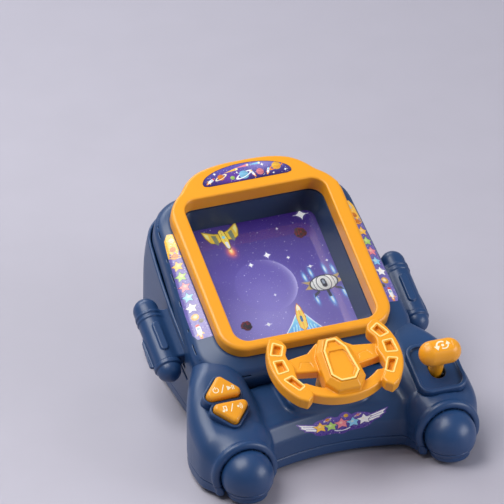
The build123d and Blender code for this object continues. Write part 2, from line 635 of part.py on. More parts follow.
# ================================================================ steering wheel and column
with BuildPart() as steering_wheel:
    for s in (1, -1):
        # grip: outer arc, pointed lower tip, thumb bulge on the inside
        with BuildSketch(WHEEL.offset(-9)):
            with BuildLine():
                o = ThreePointArc((s * 37.0, 22.9), (s * WHEEL_R, 0), (s * 33.5, -27.7))
                t1 = Line(o @ 1, (s * 28.6, -31.0))
                t2 = Line(t1 @ 1, (s * 24.2, -27.0))
                t3 = Line(t2 @ 1, (s * 23.2, -23.4))
                i1 = Spline(t3 @ 1, (s * 29.2, -13.5), (s * 29.3, -6.5), (s * 28.0, -0.5), (s * 29.9, 4.8), (s * 30.2, 9.5), (s * 27.2, 15.2))
                t4 = Line(i1 @ 1, (s * 29.0, 20.4))
                t5 = Line(t4 @ 1, (s * 33.0, 23.6))
                Line(t5 @ 1, o @ 0)
            make_face()
        extrude(amount=9)
    # spoke plate with the shield-shaped hub
    with BuildSketch(WHEEL.offset(-10)):
        with BuildLine():
            Polyline([(-31, 6.6), (-15.5, 9.0), (-7.5, 16), (7.5, 16), (15.5, 9.0), (31, 6.6), (31, -4.0),
                      (13.5, -7.0), (9.5, -26), (-9.5, -26), (-13.5, -7.0), (-31, -4.0)], close=True)
        make_face()
    extrude(amount=7.0)
    # raised faceted hub
    with BuildSketch(WHEEL.offset(-10)):
        with BuildLine():
            Polyline([(-6.5, 15), (6.5, 15), (12, 4), (13.6, -19.5), (7.5, -27.5), (-7.5, -27.5), (-13.6, -19.5), (-12, 4)], close=True)
        make_face()
    extrude(amount=14.0)
    chamfer(faces().filter_by(lambda f: f.normal_at().dot(WHEEL.z_dir) > 0.99).sort_by(lambda f: (f.center() - WHEEL.origin).dot(WHEEL.z_dir))[-1].edges(), 2.8)
    # low arc that joins the grips below the hub
    with BuildSketch(WHEEL.offset(-12)):
        with BuildLine():
            a1 = ThreePointArc((-27.5, -21.5), (0, -30.0), (27.5, -21.5))
            a2 = Line(a1 @ 1, (25.0, -14.5))
            a3 = ThreePointArc(a2 @ 1, (0, -22.5), (-25.0, -14.5))
            Line(a3 @ 1, a1 @ 0)
        make_face()
    extrude(amount=8.6)
    # column
    with BuildSketch(WHEEL.offset(COLUMN_END)):
        Circle(9.0)
    extrude(amount=26)
    # windows in the grips
    for s in (1, -1):
        for a0, a1 in ((10, 27), (-11, 4), (-33, -17)):
            m0, m1 = math.radians(a0), math.radians(a1)
            r0, r1 = 33.6, 40.0
            with BuildSketch(WHEEL.offset(-2.2)):
                with BuildLine():
                    Polyline([(s * r0 * math.cos(m0), r0 * math.sin(m0)), (s * r1 * math.cos(m0), r1 * math.sin(m0)),
                              (s * r1 * math.cos(m1), r1 * math.sin(m1)), (s * r0 * math.cos(m1), r0 * math.sin(m1))], close=True)
                make_face()
            extrude(amount=4, mode=Mode.SUBTRACT)
    # seat of the cap, and the blind socket for the shaft
    with BuildSketch(WHEEL.offset(2.4)):
        with BuildLine():
            Polyline([(-3.2, 10.9), (3.2, 10.9), (7.9, 2.6), (9.7, -17.6), (4.9, -23.6), (-4.9, -23.6), (-9.7, -17.6), (-7.9, 2.6)], close=True)
        make_face()
    extrude(amount=4, mode=Mode.SUBTRACT)
    with BuildSketch(WHEEL.offset(-36)):
        Circle(SHAFT_D / 2)
    extrude(amount=18, mode=Mode.SUBTRACT)
print("wheel solids", len(steering_wheel.solids()), steering_wheel.part.is_valid)
export(steering_wheel.part, "steering_wheel")

with BuildPart() as wheel_hub_cap:
    with BuildSketch(WHEEL.offset(2.4)):
        with BuildLine():
            Polyline([(-3.1, 10.8), (3.1, 10.8), (7.8, 2.55), (9.6, -17.55), (4.85, -23.5), (-4.85, -23.5), (-9.6, -17.55), (-7.8, 2.55)], close=True)
        make_face()
    extrude(amount=2.2)
    with BuildSketch(WHEEL.offset(4.0)):
        with BuildLine():
            Polyline([(-2.6, 8.8), (2.6, 8.8), (4.8, 4.4), (-4.8, 4.4)], close=True)
        make_face()
        with BuildLine():
            Polyline([(-6.0, 1.4), (6.0, 1.4), (7.6, -16.8), (4.0, -21.4), (-4.0, -21.4), (-7.6, -16.8)], close=True)
        make_face()
    extrude(amount=3, mode=Mode.SUBTRACT)
export(wheel_hub_cap.part, "wheel_hub_cap")

with BuildPart() as steering_shaft:
    with BuildSketch(WHEEL.offset(-57)):
        Circle(SHAFT_D / 2)
    extrude(amount=39)
    with BuildSketch(WHEEL.offset(-57)):
        Circle(1.0)
    extrude(amount=8, mode=Mode.SUBTRACT)
export(steering_shaft.part, "steering_shaft")

with BuildPart() as steering_bush:
    with BuildSketch(WHEEL.offset(POD_TOP - 8.6)):
        Circle(BUSH_D / 2)
    extrude(amount=8.6)
    with BuildSketch(WHEEL.offset(POD_TOP)):
        Circle(BUSH_FLANGE_D / 2)
    extrude(amount=1.1)
    with BuildSketch(WHEEL.offset(-46)):
        Circle(SHAFT_D / 2 + RUN)
    extrude(amount=12, mode=Mode.SUBTRACT)
export(steering_bush.part, "steering_bush")

with BuildPart() as steering_cam:
    with BuildSketch(WHEEL.offset(-50)):
        Circle(6.5)
        with Locations((0, 6.5)):
            Rectangle(5, 13)
        with Locations((0, 13)):
            Circle(2.5)
    extrude(amount=3.6)
    with BuildSketch(WHEEL.offset(-54.0)):
        with Locations((0, 12.4)):
            Circle(1.6)
    extrude(amount=4.2)
    with BuildSketch(WHEEL.offset(-51)):
        Circle(SHAFT_D / 2)
    extrude(amount=6, mode=Mode.SUBTRACT)
export(steering_cam.part, "steering_cam")

with BuildPart() as shaft_screw:
    with BuildSketch(WHEEL.offset(-59.2)):
        Circle(3.8)
    extrude(amount=2.2)
    with BuildSketch(WHEEL.offset(-57)):
        Circle(1.0)
    extrude(amount=7)
export(shaft_screw.part, "shaft_screw")

with BuildPart() as steering_spring:
    with BuildLine() as coil:
        Helix(pitch=1.3, height=3.2, radius=4.4, center=WHEEL.offset(-54.4).origin, direction=WHEEL.z_dir)
    with BuildSketch(Plane(origin=coil.edges()[0] @ 0, z_dir=coil.edges()[0] % 0)):
        Circle(0.45)
    sweep(is_frenet=True)
print("spring", steering_spring.part.volume, steering_spring.part.is_valid, steering_spring.part.bounding_box())
export(steering_spring.part, "steering_spring")

with BuildPart() as steering_switch_board:
    with BuildSketch(WHEEL.offset(-56.2)):
        with Locations((0, 14.5)):
            RectangleRounded(24, 15, 1)
    extrude(amount=1.6)
export(steering_switch_board.part, "steering_switch_board")

# ================================================================ shift lever
with BuildPart() as lever_plate:
    with BuildSketch(LEVER.offset(-6)):
        RectangleRounded(32.6, 38.6, 7.9)
    extrude(amount=6)
    fillet(faces().filter_by(lambda f: f.normal_at().dot(LEVER.z_dir) > 0.99).edges(), 1.2)
    with BuildSketch(LEVER.offset(-2.2)):
        RectangleRounded(27.2, 33.2, 5.4)
    extrude(amount=3, mode=Mode.SUBTRACT)
    with BuildSketch(LEVER.offset(-7)):
        SlotOverall(23, 11, rotation=90)
    extrude(amount=8, mode=Mode.SUBTRACT)
export(lever_plate.part, "lever_plate")

with BuildPart() as lever_bracket:
    with BuildSketch(LEVER.offset(-7.6)):
        RectangleRounded(26.6, 32.6, 4.8)
        SlotOverall(24, 12, rotation=90, mode=Mode.SUBTRACT)
    extrude(amount=1.6)
    with BuildSketch(LEVER.offset(-14.6)):
        with Locations((7.4, 0), (-7.4, 0)):
            Rectangle(2.2, 9)
    extrude(amount=7.2)
    with BuildSketch(Plane(origin=LEVER.origin, x_dir=(0, 1, 0), z_dir=(1, 0, 0)).offset(-10)):
        with Locations((-(-12) * math.sin(math.radians(LEVER_TILT)), -12 * math.cos(math.radians(LEVER_TILT)))):
            Circle(1.5)
    extrude(amount=20, mode=Mode.SUBTRACT)
print("bracket", len(lever_bracket.solids()))
export(lever_bracket.part, "lever_bracket")

PIVOT = LEVER.offset(-12).origin
with BuildPart() as lever_pivot_pin:
    with BuildSketch(Plane(origin=PIVOT, x_dir=(0, 1, 0), z_dir=(1, 0, 0)).offset(-9)):
        Circle(1.5)
    extrude(amount=18)
export(lever_pivot_pin.part, "lever_pivot_pin")

with BuildPart() as lever_stem:
    with BuildSketch(LEVER.offset(-15)):
        Circle(STEM_D / 2)
    extrude(amount=23.5)
    with BuildSketch(LEVER.offset(-17.4)):
        RectangleRounded(5, 14, 1.5)
    extrude(amount=2.6)
    with BuildSketch(Plane(origin=PIVOT, x_dir=(0, 1, 0), z_dir=(1, 0, 0)).offset(-9)):
        Circle(1.5 + RUN)
    extrude(amount=18, mode=Mode.SUBTRACT)
export(lever_stem.part, "lever_stem")

KNOB_C = LEVER.offset(14.5).origin
with BuildPart() as lever_knob:
    with BuildSketch(Plane(origin=KNOB_C, x_dir=(0, 1, 0), z_dir=(1, 0, 0)).offset(-(KNOB_L / 2 - KNOB_D / 2))):
        Circle(KNOB_D / 2)
    extrude(amount=KNOB_L - KNOB_D)
    with Locations(KNOB_C + Vector(KNOB_L / 2 - KNOB_D / 2, 0, 0), KNOB_C - Vector(KNOB_L / 2 - KNOB_D / 2, 0, 0)):
        Sphere(KNOB_D / 2)
    with BuildSketch(LEVER.offset(5)):
        Circle(STEM_D / 2)
    extrude(amount=3.5, mode=Mode.SUBTRACT)
export(lever_knob.part, "lever_knob")

with BuildPart() as lever_pads:
    with BuildSketch(LEVER.offset(-22.6)):
        Rectangle(12, 22)
    extrude(amount=0.8)
    with BuildSketch(LEVER.offset(-21.8)):
        with Locations((0, 6.0), (0, -6.0)):
            Circle(2.4)
    extrude(amount=2.0, taper=20)
export(lever_pads.part, "lever_pads")

with BuildPart() as lever_switch_board:
    with BuildSketch(LEVER.offset(-24.2)):
        RectangleRounded(22, 28, 1)
    extrude(amount=1.6)
export(lever_switch_board.part, "lever_switch_board")

# ================================================================ push buttons
for name, place, up in (("start_button", BTN_UP, 1), ("mode_button", BTN_LOW, -1)):
    with BuildPart() as button:
        with BuildSketch(BUTTONS.offset(-8.0)):
            with BuildLine():
                Polyline(triangle(place, up, 0), close=True)
            make_face()
            fillet(vertices(), BTN_R)
        extrude(amount=8.0 + BTN_TOP)
        fillet(faces().filter_by(lambda f: f.normal_at().dot(BUTTONS.z_dir) > 0.99).edges(), 2.0)
        with BuildSketch(BUTTONS.offset(-10.4)):
            with Locations(place):
                Circle(2.4)
        extrude(amount=2.5)
    export(button.part, name)

with BuildPart() as button_pads:
    with BuildSketch(BUTTONS.offset(-14.6)):
        RectangleRounded(24, 32, 2)
    extrude(amount=0.9)
    with BuildSketch(BUTTONS.offset(-13.7)):
        with Locations(BTN_UP, BTN_LOW):
            Circle(3.4)
    extrude(amount=1.7, taper=20)
export(button_pads.part, "button_pads")

with BuildPart() as button_board:
    with BuildSketch(BUTTONS.offset(-16.2)):
        RectangleRounded(26, 33, 1.5)
    extrude(amount=1.6)
export(button_board.part, "button_board")

# ================================================================ speaker
SPK = (0, Y0 + 76)
with BuildPart() as speaker_frame:
    with BuildSketch(Plane.XY.offset(BASE_Z + WALL)):
        with Locations(SPK):
            Circle(17)
            Circle(14.5, mode=Mode.SUBTRACT)
    extrude(amount=3.0)
    with BuildSketch(Plane.XY.offset(BASE_Z + WALL + 3.0)):
        with Locations(SPK):
            Circle(17)
            Circle(8, mode=Mode.SUBTRACT)
    extrude(amount=1.0)
export(speaker_frame.part, "speaker_frame")
with BuildPart() as speaker_cone:
    with BuildSketch(Plane.XY.offset(BASE_Z + WALL + 1.0)):
        with Locations(SPK):
            Circle(14.4)
    extrude(amount=0.6)
    with BuildSketch(Plane.XY.offset(BASE_Z + WALL + 1.6)):
        with Locations(SPK):
            Circle(6)
    extrude(amount=2.2)
export(speaker_cone.part, "speaker_cone")
with BuildPart() as speaker_magnet:
    with BuildSketch(Plane.XY.offset(BASE_Z + WALL + 4.0)):
        with Locations(SPK):
            Circle(9.5)
    extrude(amount=4.5)
export(speaker_magnet.part, "speaker_magnet")

# ================================================================ battery bay
CELL_Y = [sum(WELL_Y) / 2 + d for d in (-16.2, 0, 16.2)]
CELL_Z = BASE_Z + 2.4 + CELL_D / 2
with BuildPart() as battery_cells:
    for i, y in enumerate(CELL_Y):
        end = 1 if i % 2 == 0 else -1
        with BuildSketch(Plane.YZ.offset(-CELL_L / 2)):
            with Locations((y, CELL_Z)):
                Circle(CELL_D / 2)
        extrude(amount=CELL_L - 1)
        with BuildSketch(Plane.YZ.offset(CELL_L / 2 - 1)):
            with Locations((y, CELL_Z)):
                Circle(2.7)
        extrude(amount=1)
export(battery_cells.part, "battery_cells")

with BuildPart() as battery_contacts:
    for x in (WELL_X - 0.5, -WELL_X):
        with BuildSketch(Plane.YZ.offset(x)):
            with Locations(*[(y, CELL_Z) for y in CELL_Y]):
                Rectangle(12, 11)
        extrude(amount=0.5)
export(battery_contacts.part, "battery_contacts")

with BuildPart() as battery_springs:
    for y in CELL_Y:
        with BuildLine() as coil2:
            Helix(pitch=1.4, height=4.0, radius=4.0, center=(-WELL_X + 1.0, y, CELL_Z), direction=(1, 0, 0))
        with BuildSketch(Plane(origin=coil2.edges()[0] @ 0, z_dir=coil2.edges()[0] % 0)):
            Circle(0.4)
        sweep(is_frenet=True)
print("springs", len(battery_springs.solids()), battery_springs.part.volume)
export(battery_springs.part, "battery_springs")

with BuildPart() as battery_door:
    with BuildSketch(Plane.XY.offset(BASE_Z)):
        with Locations((0, sum(WELL_Y) / 2)):
            Rectangle(2 * WELL_X - 0.7, WELL_Y[1] - WELL_Y[0] - 0.7)
    extrude(amount=1.9)
    with BuildSketch(Plane.XY.offset(BASE_Z)):
        with Locations((0, WELL_Y[0] - 4.2)):
            RectangleRounded(13.2, 12.0, 2.6)
    extrude(amount=1.2)
    with BuildSketch(Plane.XY.offset(BASE_Z - 0.5)):
        with Locations((0, WELL_Y[0] - 4.5)):
            Circle(1.4)
    extrude(amount=3, mode=Mode.SUBTRACT)
    # grip ribs
    with BuildSketch(Plane.XY.offset(BASE_Z)):
        with Locations((0, WELL_Y[0] + 14)):
            with GridLocations(0, 3, 1, 4):
                SlotOverall(22, 1.2)
    extrude(amount=0.6, mode=Mode.SUBTRACT)
print("door", len(battery_door.solids()))
export(battery_door.part, "battery_door")

with BuildPart() as battery_door_screw:
    with BuildSketch(Plane.XY.offset(BASE_Z - 1.2)):
        with Locations((0, WELL_Y[0] - 4.5)):
            Circle(2.6)
    extrude(amount=1.2)
    with BuildSketch(Plane.XY.offset(BASE_Z)):
        with Locations((0, WELL_Y[0] - 4.5)):
            Circle(1.2)
    extrude(amount=7)
export(battery_door_screw.part, "battery_door_screw")

# ================================================================ feet and housing screws
with BuildPart() as rear_feet:
    with BuildSketch(Plane.XY):
        with Locations((52, Y0 + 168), (-52, Y0 + 168)):
            Circle(7)
    extrude(amount=BASE_Z)
    chamfer(edges().filter_by(GeomType.CIRCLE).group_by(Axis.Z)[0], 0.6)
export(rear_feet.part, "rear_feet")

with BuildPart() as housing_screws:
    with BuildSketch(Plane.XY.offset(BASE_Z + 1.4)):
        with Locations(*SCREW_XY):
            Circle(2.7)
    extrude(amount=BASE_SCREW - 1.4)
    with BuildSketch(Plane.XY.offset(BASE_Z + BASE_SCREW)):
        with Locations(*SCREW_XY):
            Circle(1.2)
    extrude(amount=14)
export(housing_screws.part, "housing_screws")
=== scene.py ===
import bpy, math, json
import numpy as np
from mathutils import Vector, Matrix


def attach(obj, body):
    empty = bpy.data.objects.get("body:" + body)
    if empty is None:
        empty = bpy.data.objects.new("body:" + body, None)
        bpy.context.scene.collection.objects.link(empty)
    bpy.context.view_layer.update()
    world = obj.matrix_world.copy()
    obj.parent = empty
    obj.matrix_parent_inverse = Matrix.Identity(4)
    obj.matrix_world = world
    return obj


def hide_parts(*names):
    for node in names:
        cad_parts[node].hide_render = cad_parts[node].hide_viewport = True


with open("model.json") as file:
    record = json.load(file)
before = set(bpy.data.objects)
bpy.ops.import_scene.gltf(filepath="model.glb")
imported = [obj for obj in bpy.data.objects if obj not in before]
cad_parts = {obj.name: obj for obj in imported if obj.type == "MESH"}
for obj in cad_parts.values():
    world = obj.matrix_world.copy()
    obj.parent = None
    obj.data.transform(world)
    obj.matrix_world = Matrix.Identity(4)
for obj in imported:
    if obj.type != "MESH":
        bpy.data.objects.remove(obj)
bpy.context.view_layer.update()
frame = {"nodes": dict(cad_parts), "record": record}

N = frame["nodes"]
Y0 = -93.9                      # foot line (mm)
PART_Z, BASE_Z = 10.2, 3.0


def sn(d): return math.sin(math.radians(d))
def cs(d): return math.cos(math.radians(d))


class Tilt:
    """Local axes on a plane that faces the player; lengths in mm."""
    def __init__(s, x, y, z, t):
        s.o = np.array([x, y, z], float); s.t = t
        s.ex = np.array([1.0, 0, 0]); s.ey = np.array([0, cs(t), sn(t)]); s.ez = np.array([0, -sn(t), cs(t)])

    def local(s, x, y, z):
        y = y - s.o[1]; z = z - s.o[2]
        return x - s.o[0], y * s.ey[1] + z * s.ey[2], y * s.ez[1] + z * s.ez[2]

    def world(s, P):
        P = np.asarray(P, float)
        return s.o + P[..., 0:1] * s.ex + P[..., 1:2] * s.ey + P[..., 2:3] * s.ez


class World:
    def world(s, P): return np.asarray(P, float)


SCREEN = Tilt(0, Y0 + 118.5, 89.7, 24)
WHEEL = Tilt(0, Y0 + 25.5, 75.2, 19)
LEVER = Tilt(70.7, Y0 + 30, 50.2, 23)
BUTTONS = Tilt(-70, Y0 + 33.3, 52.6, 30)
WORLD = World()

# ------------------------------------------------------------------ distance-field modelling
def rmax(a, b, r):
    u = np.maximum(a + r, 0); v = np.maximum(b + r, 0)
    return np.minimum(-r, np.maximum(a, b)) + np.sqrt(u * u + v * v)

def rmin(a, b, r): return -rmax(-a, -b, r)

def smin(a, b, k):
    h = np.clip(0.5 + 0.5 * (b - a) / k, 0, 1)
    return b + (a - b) * h - k * h * (1 - h)

def smax(a, b, k): return -smin(-a, -b, k)

def rrect(x, y, w, h, r):
    qx = np.abs(x) - w / 2 + r; qy = np.abs(y) - h / 2 + r
    return np.sqrt(np.maximum(qx, 0) ** 2 + np.maximum(qy, 0) ** 2) + np.minimum(np.maximum(qx, qy), 0) - r

def seg(x, y, ax, ay, bx, by):
    ex, ey = bx - ax, by - ay
    t = np.clip(((x - ax) * ex + (y - ay) * ey) / (ex * ex + ey * ey), 0, 1)
    return np.sqrt((x - ax - ex * t) ** 2 + (y - ay - ey * t) ** 2)

def poly(x, y, P):
    P = np.asarray(P, float); n = len(P)
    d = np.full(np.shape(x), 1e9); s = np.zeros(np.shape(x), bool)
    for i in range(n):
        ax, ay = P[i]; bx, by = P[i - 1]
        ex, ey = bx - ax, by - ay; wx, wy = x - ax, y - ay
        t = np.clip((wx * ex + wy * ey) / (ex * ex + ey * ey), 0, 1)
        d = np.minimum(d, (wx - ex * t) ** 2 + (wy - ey * t) ** 2)
        c1 = y >= ay; c2 = y < by; c3 = ex * wy > ey * wx
        s ^= (c1 & c2 & c3) | (~c1 & ~c2 & ~c3)
    return np.where(s, -1, 1) * np.sqrt(d)

def inset(P, r):
    """Closed polygon with its edges moved inwards by r."""
    P = np.asarray(P, float); n = len(P)
    area = 0.5 * sum(P[i - 1][0] * P[i][1] - P[i][0] * P[i - 1][1] for i in range(n))
    sg = 1 if area > 0 else -1
    out = []
    for i in range(n):
        a, b, c = P[i - 1], P[i], P[(i + 1) % n]
        n1 = np.array([-(b - a)[1], (b - a)[0]]) * sg / np.linalg.norm(b - a)
        n2 = np.array([-(c - b)[1], (c - b)[0]]) * sg / np.linalg.norm(c - b)
        k = 1 + n1.dot(n2)
        out.append(b + (n1 + n2) * r / max(k, 0.25))
    return np.array(out)

def rpoly(P, r):
    Q = inset(P, r)
    return lambda x, y: poly(x, y, Q) - r

def catmull(P, per=8, closed=False):
    P = [np.array(p, float) for p in P]; n = len(P); out = []
    rng = range(n) if closed else range(n - 1)
    for i in rng:
        if closed: a, b, c, d = P[i - 1], P[i], P[(i + 1) % n], P[(i + 2) % n]
        else: a, b, c, d = P[max(i - 1, 0)], P[i], P[i + 1], P[min(i + 2, n - 1)]
        for k in range(per):
            t = k / per
            out.append(0.5 * ((2 * b) + (c - a) * t + (2 * a - 5 * b + 4 * c - d) * t * t + (3 * b - a - 3 * c + d) * t ** 3))
    if not closed: out.append(P[-1])
    return np.array(out)


def surface(f, lo, hi, h):
    """Quads on f = 0 between lo and hi, on a grid of pitch h (naive surface nets, then Newton steps)."""
    lo = np.array(lo, float) - 1.5 * h; hi = np.array(hi, float) + 1.5 * h
    B = 8
    nb = np.ceil(((hi - lo) / h) / B).astype(int); n = nb * B + 1
    cen = [lo[i] + h * (np.arange(nb[i]) * B + B / 2) for i in range(3)]
    C = np.stack(np.meshgrid(*cen, indexing="ij"), -1).reshape(-1, 3)
    dc = f(C[:, 0], C[:, 1], C[:, 2])
    V = np.empty(n, np.float32)
    S = np.where(dc > 0, 1e3, -1e3).astype(np.float32).reshape(nb)
    V[:-1, :-1, :-1] = np.repeat(np.repeat(np.repeat(S, B, 0), B, 1), B, 2)
    V[-1] = V[-2]; V[:, -1] = V[:, -2]; V[:, :, -1] = V[:, :, -2]
    idx = np.argwhere((np.abs(dc) < h * B * 0.87 * 1.35 + 2 * h).reshape(nb))
    o = np.arange(B + 1); g = np.stack(np.meshgrid(o, o, o, indexing="ij"), -1).reshape(-1, 3)
    step = 2500
    for c in range(0, len(idx), step):
        P = (idx[c:c + step] * B)[:, None, :] + g[None]
        X = lo + h * P
        V[P[..., 0], P[..., 1], P[..., 2]] = f(X[..., 0], X[..., 1], X[..., 2])
    sg = V < 0
    cnt = np.zeros(n - 1, np.int8)
    for a in (0, 1):
        for b in (0, 1):
            for c in (0, 1):
                cnt += sg[a:n[0] - 1 + a, b:n[1] - 1 + b, c:n[2] - 1 + c]
    mixed = (cnt > 0) & (cnt < 8)
    cell = np.argwhere(mixed); ids = np.full(n - 1, -1, np.int32); ids[mixed] = np.arange(len(cell))
    acc = np.zeros((len(cell), 3)); num = np.zeros(len(cell))
    for d in range(3):
        u, v = (d + 1) % 3, (d + 2) % 3
        for a in (0, 1):
            for b in (0, 1):
                A = np.zeros(3, int); A[u] = a; A[v] = b; Bv = A.copy(); Bv[d] = 1
                pa, pb = cell + A, cell + Bv
                va = V[pa[:, 0], pa[:, 1], pa[:, 2]]; vb = V[pb[:, 0], pb[:, 1], pb[:, 2]]
                x = (va < 0) != (vb < 0)
                t = np.where(x, va / np.where(x, va - vb, 1), 0)
                acc[x] += (A + (Bv - A) * t[:, None])[x]; num[x] += 1
    verts = lo + h * (cell + acc / num[:, None])
    faces = []
    for d in range(3):
        u, v = (d + 1) % 3, (d + 2) % 3
        s0 = [slice(None)] * 3; s1 = [slice(None)] * 3
        s0[d] = slice(0, n[d] - 1); s1[d] = slice(1, n[d])
        a, b = sg[tuple(s0)], sg[tuple(s1)]
        e = np.argwhere(a != b)
        e = e[(e[:, u] > 0) & (e[:, v] > 0) & (e[:, u] < n[u] - 1) & (e[:, v] < n[v] - 1)]
        eu = np.zeros(3, int); eu[u] = 1; ev = np.zeros(3, int); ev[v] = 1
        q = [e - eu - ev, e - ev, e, e - eu]
        q = np.stack([ids[k[:, 0], k[:, 1], k[:, 2]] for k in q], 1)
        inside_first = a[e[:, 0], e[:, 1], e[:, 2]]
        q[~inside_first] = q[~inside_first][:, ::-1]
        faces.append(q)
    faces = np.concatenate(faces)
    eps = 0.2 * h
    for _ in range(2):
        x, y, z = verts.T
        v0 = f(x, y, z)
        gx = (f(x + eps, y, z) - f(x - eps, y, z)) / (2 * eps)
        gy = (f(x, y + eps, z) - f(x, y - eps, z)) / (2 * eps)
        gz = (f(x, y, z + eps) - f(x, y, z - eps)) / (2 * eps)
        G = np.stack([gx, gy, gz], 1); L = np.maximum((G ** 2).sum(1), 0.2)
        mv = -(v0 / L)[:, None] * G
        m = np.linalg.norm(mv, axis=1); k = np.minimum(1, 0.5 * h / np.maximum(m, 1e-9))
        verts = verts + mv * k[:, None]
    return verts, faces


def mesh_object(name, verts, faces, mats, body, smooth=True, colors=None, face_mat=None):
    me = bpy.data.meshes.new(name)
    verts = np.asarray(verts, float) / 1000.0
    faces = np.asarray(faces, np.int32)
    k = faces.shape[1]
    me.vertices.add(len(verts)); me.vertices.foreach_set("co", verts.astype(np.float32).ravel())
    me.loops.add(faces.size); me.loops.foreach_set("vertex_index", faces.ravel())
    me.polygons.add(len(faces))
    me.polygons.foreach_set("loop_start", np.arange(0, faces.size, k, dtype=np.int32))
    me.polygons.foreach_set("use_smooth", np.full(len(faces), smooth))
    me.update(calc_edges=True); me.validate()
    ob = bpy.data.objects.new(name, me)
    bpy.context.scene.collection.objects.link(ob)
    for m in (mats if isinstance(mats, (list, tuple)) else [mats]):
        me.materials.append(m)
    if face_mat is not None:
        me.polygons.foreach_set("material_index", np.asarray(face_mat, np.int32))
    if colors is not None:
        at = me.color_attributes.new("paint", "FLOAT_COLOR", "POINT")
        at.data.foreach_set("color", np.asarray(colors, np.float32).ravel())
    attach(ob, body)
    return ob


def solid(name, f, lo, hi, h, mat, body, plane=WORLD, node=None):
    v, q = surface(f, lo, hi, h)
    ob = mesh_object(name, plane.world(v), q, mat, body)
    if node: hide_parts(*([node] if isinstance(node, str) else node))
    print(name, len(v), "vertices")
    return ob


# ------------------------------------------------------------------ painted sheets and icons
def sheet(name, sdf, bounds, pitch, place, mat, body, paint=None, h=0.12, node=None, thick=0.1):
    """Thin closed sheet over {sdf < 0}: place(u, v, height) gives points in mm, paint(u, v) gives linear colours."""
    u0, v0, u1, v1 = bounds
    nu, nv = int(math.ceil((u1 - u0) / pitch)), int(math.ceil((v1 - v0) / pitch))
    us = np.linspace(u0, u1, nu + 1); vs = np.linspace(v0, v1, nv + 1)
    U, V = np.meshgrid(us, vs, indexing="ij")
    uc, vc = (U[:-1, :-1] + U[1:, 1:]) / 2, (V[:-1, :-1] + V[1:, 1:]) / 2
    keep = sdf(uc, vc) < 0
    ij = np.argwhere(keep); w = nv + 1
    a = ij[:, 0] * w + ij[:, 1]
    q = np.stack([a, a + w, a + w + 1, a + 1], 1)
    used = np.unique(q); new = np.full((nu + 1) * w, -1); new[used] = np.arange(len(used)); q = new[q]
    u, v = U.ravel()[used].copy(), V.ravel()[used].copy()
    edges = np.concatenate([q[:, [0, 1]], q[:, [1, 2]], q[:, [2, 3]], q[:, [3, 0]]])
    key = np.sort(edges, 1); _, inv, cnt = np.unique(key[:, 0] * (len(used) + 1) + key[:, 1], return_inverse=True, return_counts=True)
    rim = edges[cnt[inv] == 1]
    rv = np.unique(rim)
    for _ in range(3):                      # bring the rim onto the outline
        e = 0.02
        s = sdf(u[rv], v[rv])
        gx = (sdf(u[rv] + e, v[rv]) - sdf(u[rv] - e, v[rv])) / (2 * e)
        gy = (sdf(u[rv], v[rv] + e) - sdf(u[rv], v[rv] - e)) / (2 * e)
        L = np.maximum(gx * gx + gy * gy, 0.3); s = np.clip(s, -pitch, pitch)
        u[rv] -= s * gx / L; v[rv] -= s * gy / L
    n = len(u)
    top = place(u, v, h); bot = place(u, v, h - thick)
    side = np.stack([rim[:, 1], rim[:, 0], rim[:, 0] + n, rim[:, 1] + n], 1)
    faces = np.concatenate([q, q[:, ::-1] + n, side])
    col = None
    if paint is not None:
        c = paint(u, v); c = np.concatenate([c, np.ones((n, 1))], 1); col = np.concatenate([c, c])
    ob = mesh_object(name, np.concatenate([top, bot]), faces, mat, body, smooth=False, colors=col)
    if node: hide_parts(node)
    return ob


def on_plane(plane, x0=0, y0=0, z0=0):
    def f(u, v, h):
        return plane.world(np.stack([u + x0, v + y0, np.full_like(u, z0 + h)], 1))
    return f


def lin(r, g, b):
    c = np.array([r, g, b], float) / 255.0
    return np.where(c <= 0.04045, c / 12.92, ((c + 0.055) / 1.055) ** 2.4)

def mixc(C, col, a):
    a = np.clip(a, 0, 1)[..., None]
    return C * (1 - a) + np.asarray(col) * a

def cover(d, s=0.14): return np.clip(0.5 - d / s, 0, 1)

def disc(u, v, x, y, r): return np.hypot(u - x, v - y) - r

def arc(u, v, x, y, r, w, a0, a1):
    """Ring piece of width w between two angles (degrees)."""
    m = math.radians((a0 + a1) / 2); hw = math.radians((a1 - a0) / 2)
    dx, dy = u - x, v - y
    c, s = math.cos(m), math.sin(m)
    p, t = dx * c + dy * s, -dx * s + dy * c
    ang = np.abs(np.arctan2(t, p))
    ring = np.abs(np.hypot(dx, dy) - r) - w / 2
    ex, ey = r * math.cos(hw), r * math.sin(hw)
    end = np.hypot(p - ex, np.abs(t) - ey) - w / 2
    return np.where(ang < hw, ring, end)

def star4(u, v, x, y, r):
    p, t = np.abs(u - x) / r, np.abs(v - y) / r
    return (np.sqrt(p + 1e-9) + np.sqrt(t + 1e-9) - 1) * r * 0.6

def hash2(i, j, k=0):
    x = np.sin(i * 127.1 + j * 311.7 + k * 74.7) * 43758.5453
    return x - np.floor(x)

def vnoise(u, v, k=0):
    i, j = np.floor(u), np.floor(v); a, b = u - i, v - j
    a = a * a * (3 - 2 * a); b = b * b * (3 - 2 * b)
    return (hash2(i, j, k) * (1 - a) + hash2(i + 1, j, k) * a) * (1 - b) + (hash2(i, j + 1, k) * (1 - a) + hash2(i + 1, j + 1, k) * a) * b

def fbm(u, v, k=0):
    return 0.55 * vnoise(u, v, k) + 0.28 * vnoise(u * 2.1, v * 2.1, k + 1) + 0.17 * vnoise(u * 4.3, v * 4.3, k + 2)

def turn(u, v, x, y, deg, s=1.0):
    """Coordinates in a small picture placed at x, y, turned by deg and scaled by s."""
    c, n = cs(deg), sn(deg); p, t = (u - x) / s, (v - y) / s
    return p * c + t * n, -p * n + t * c


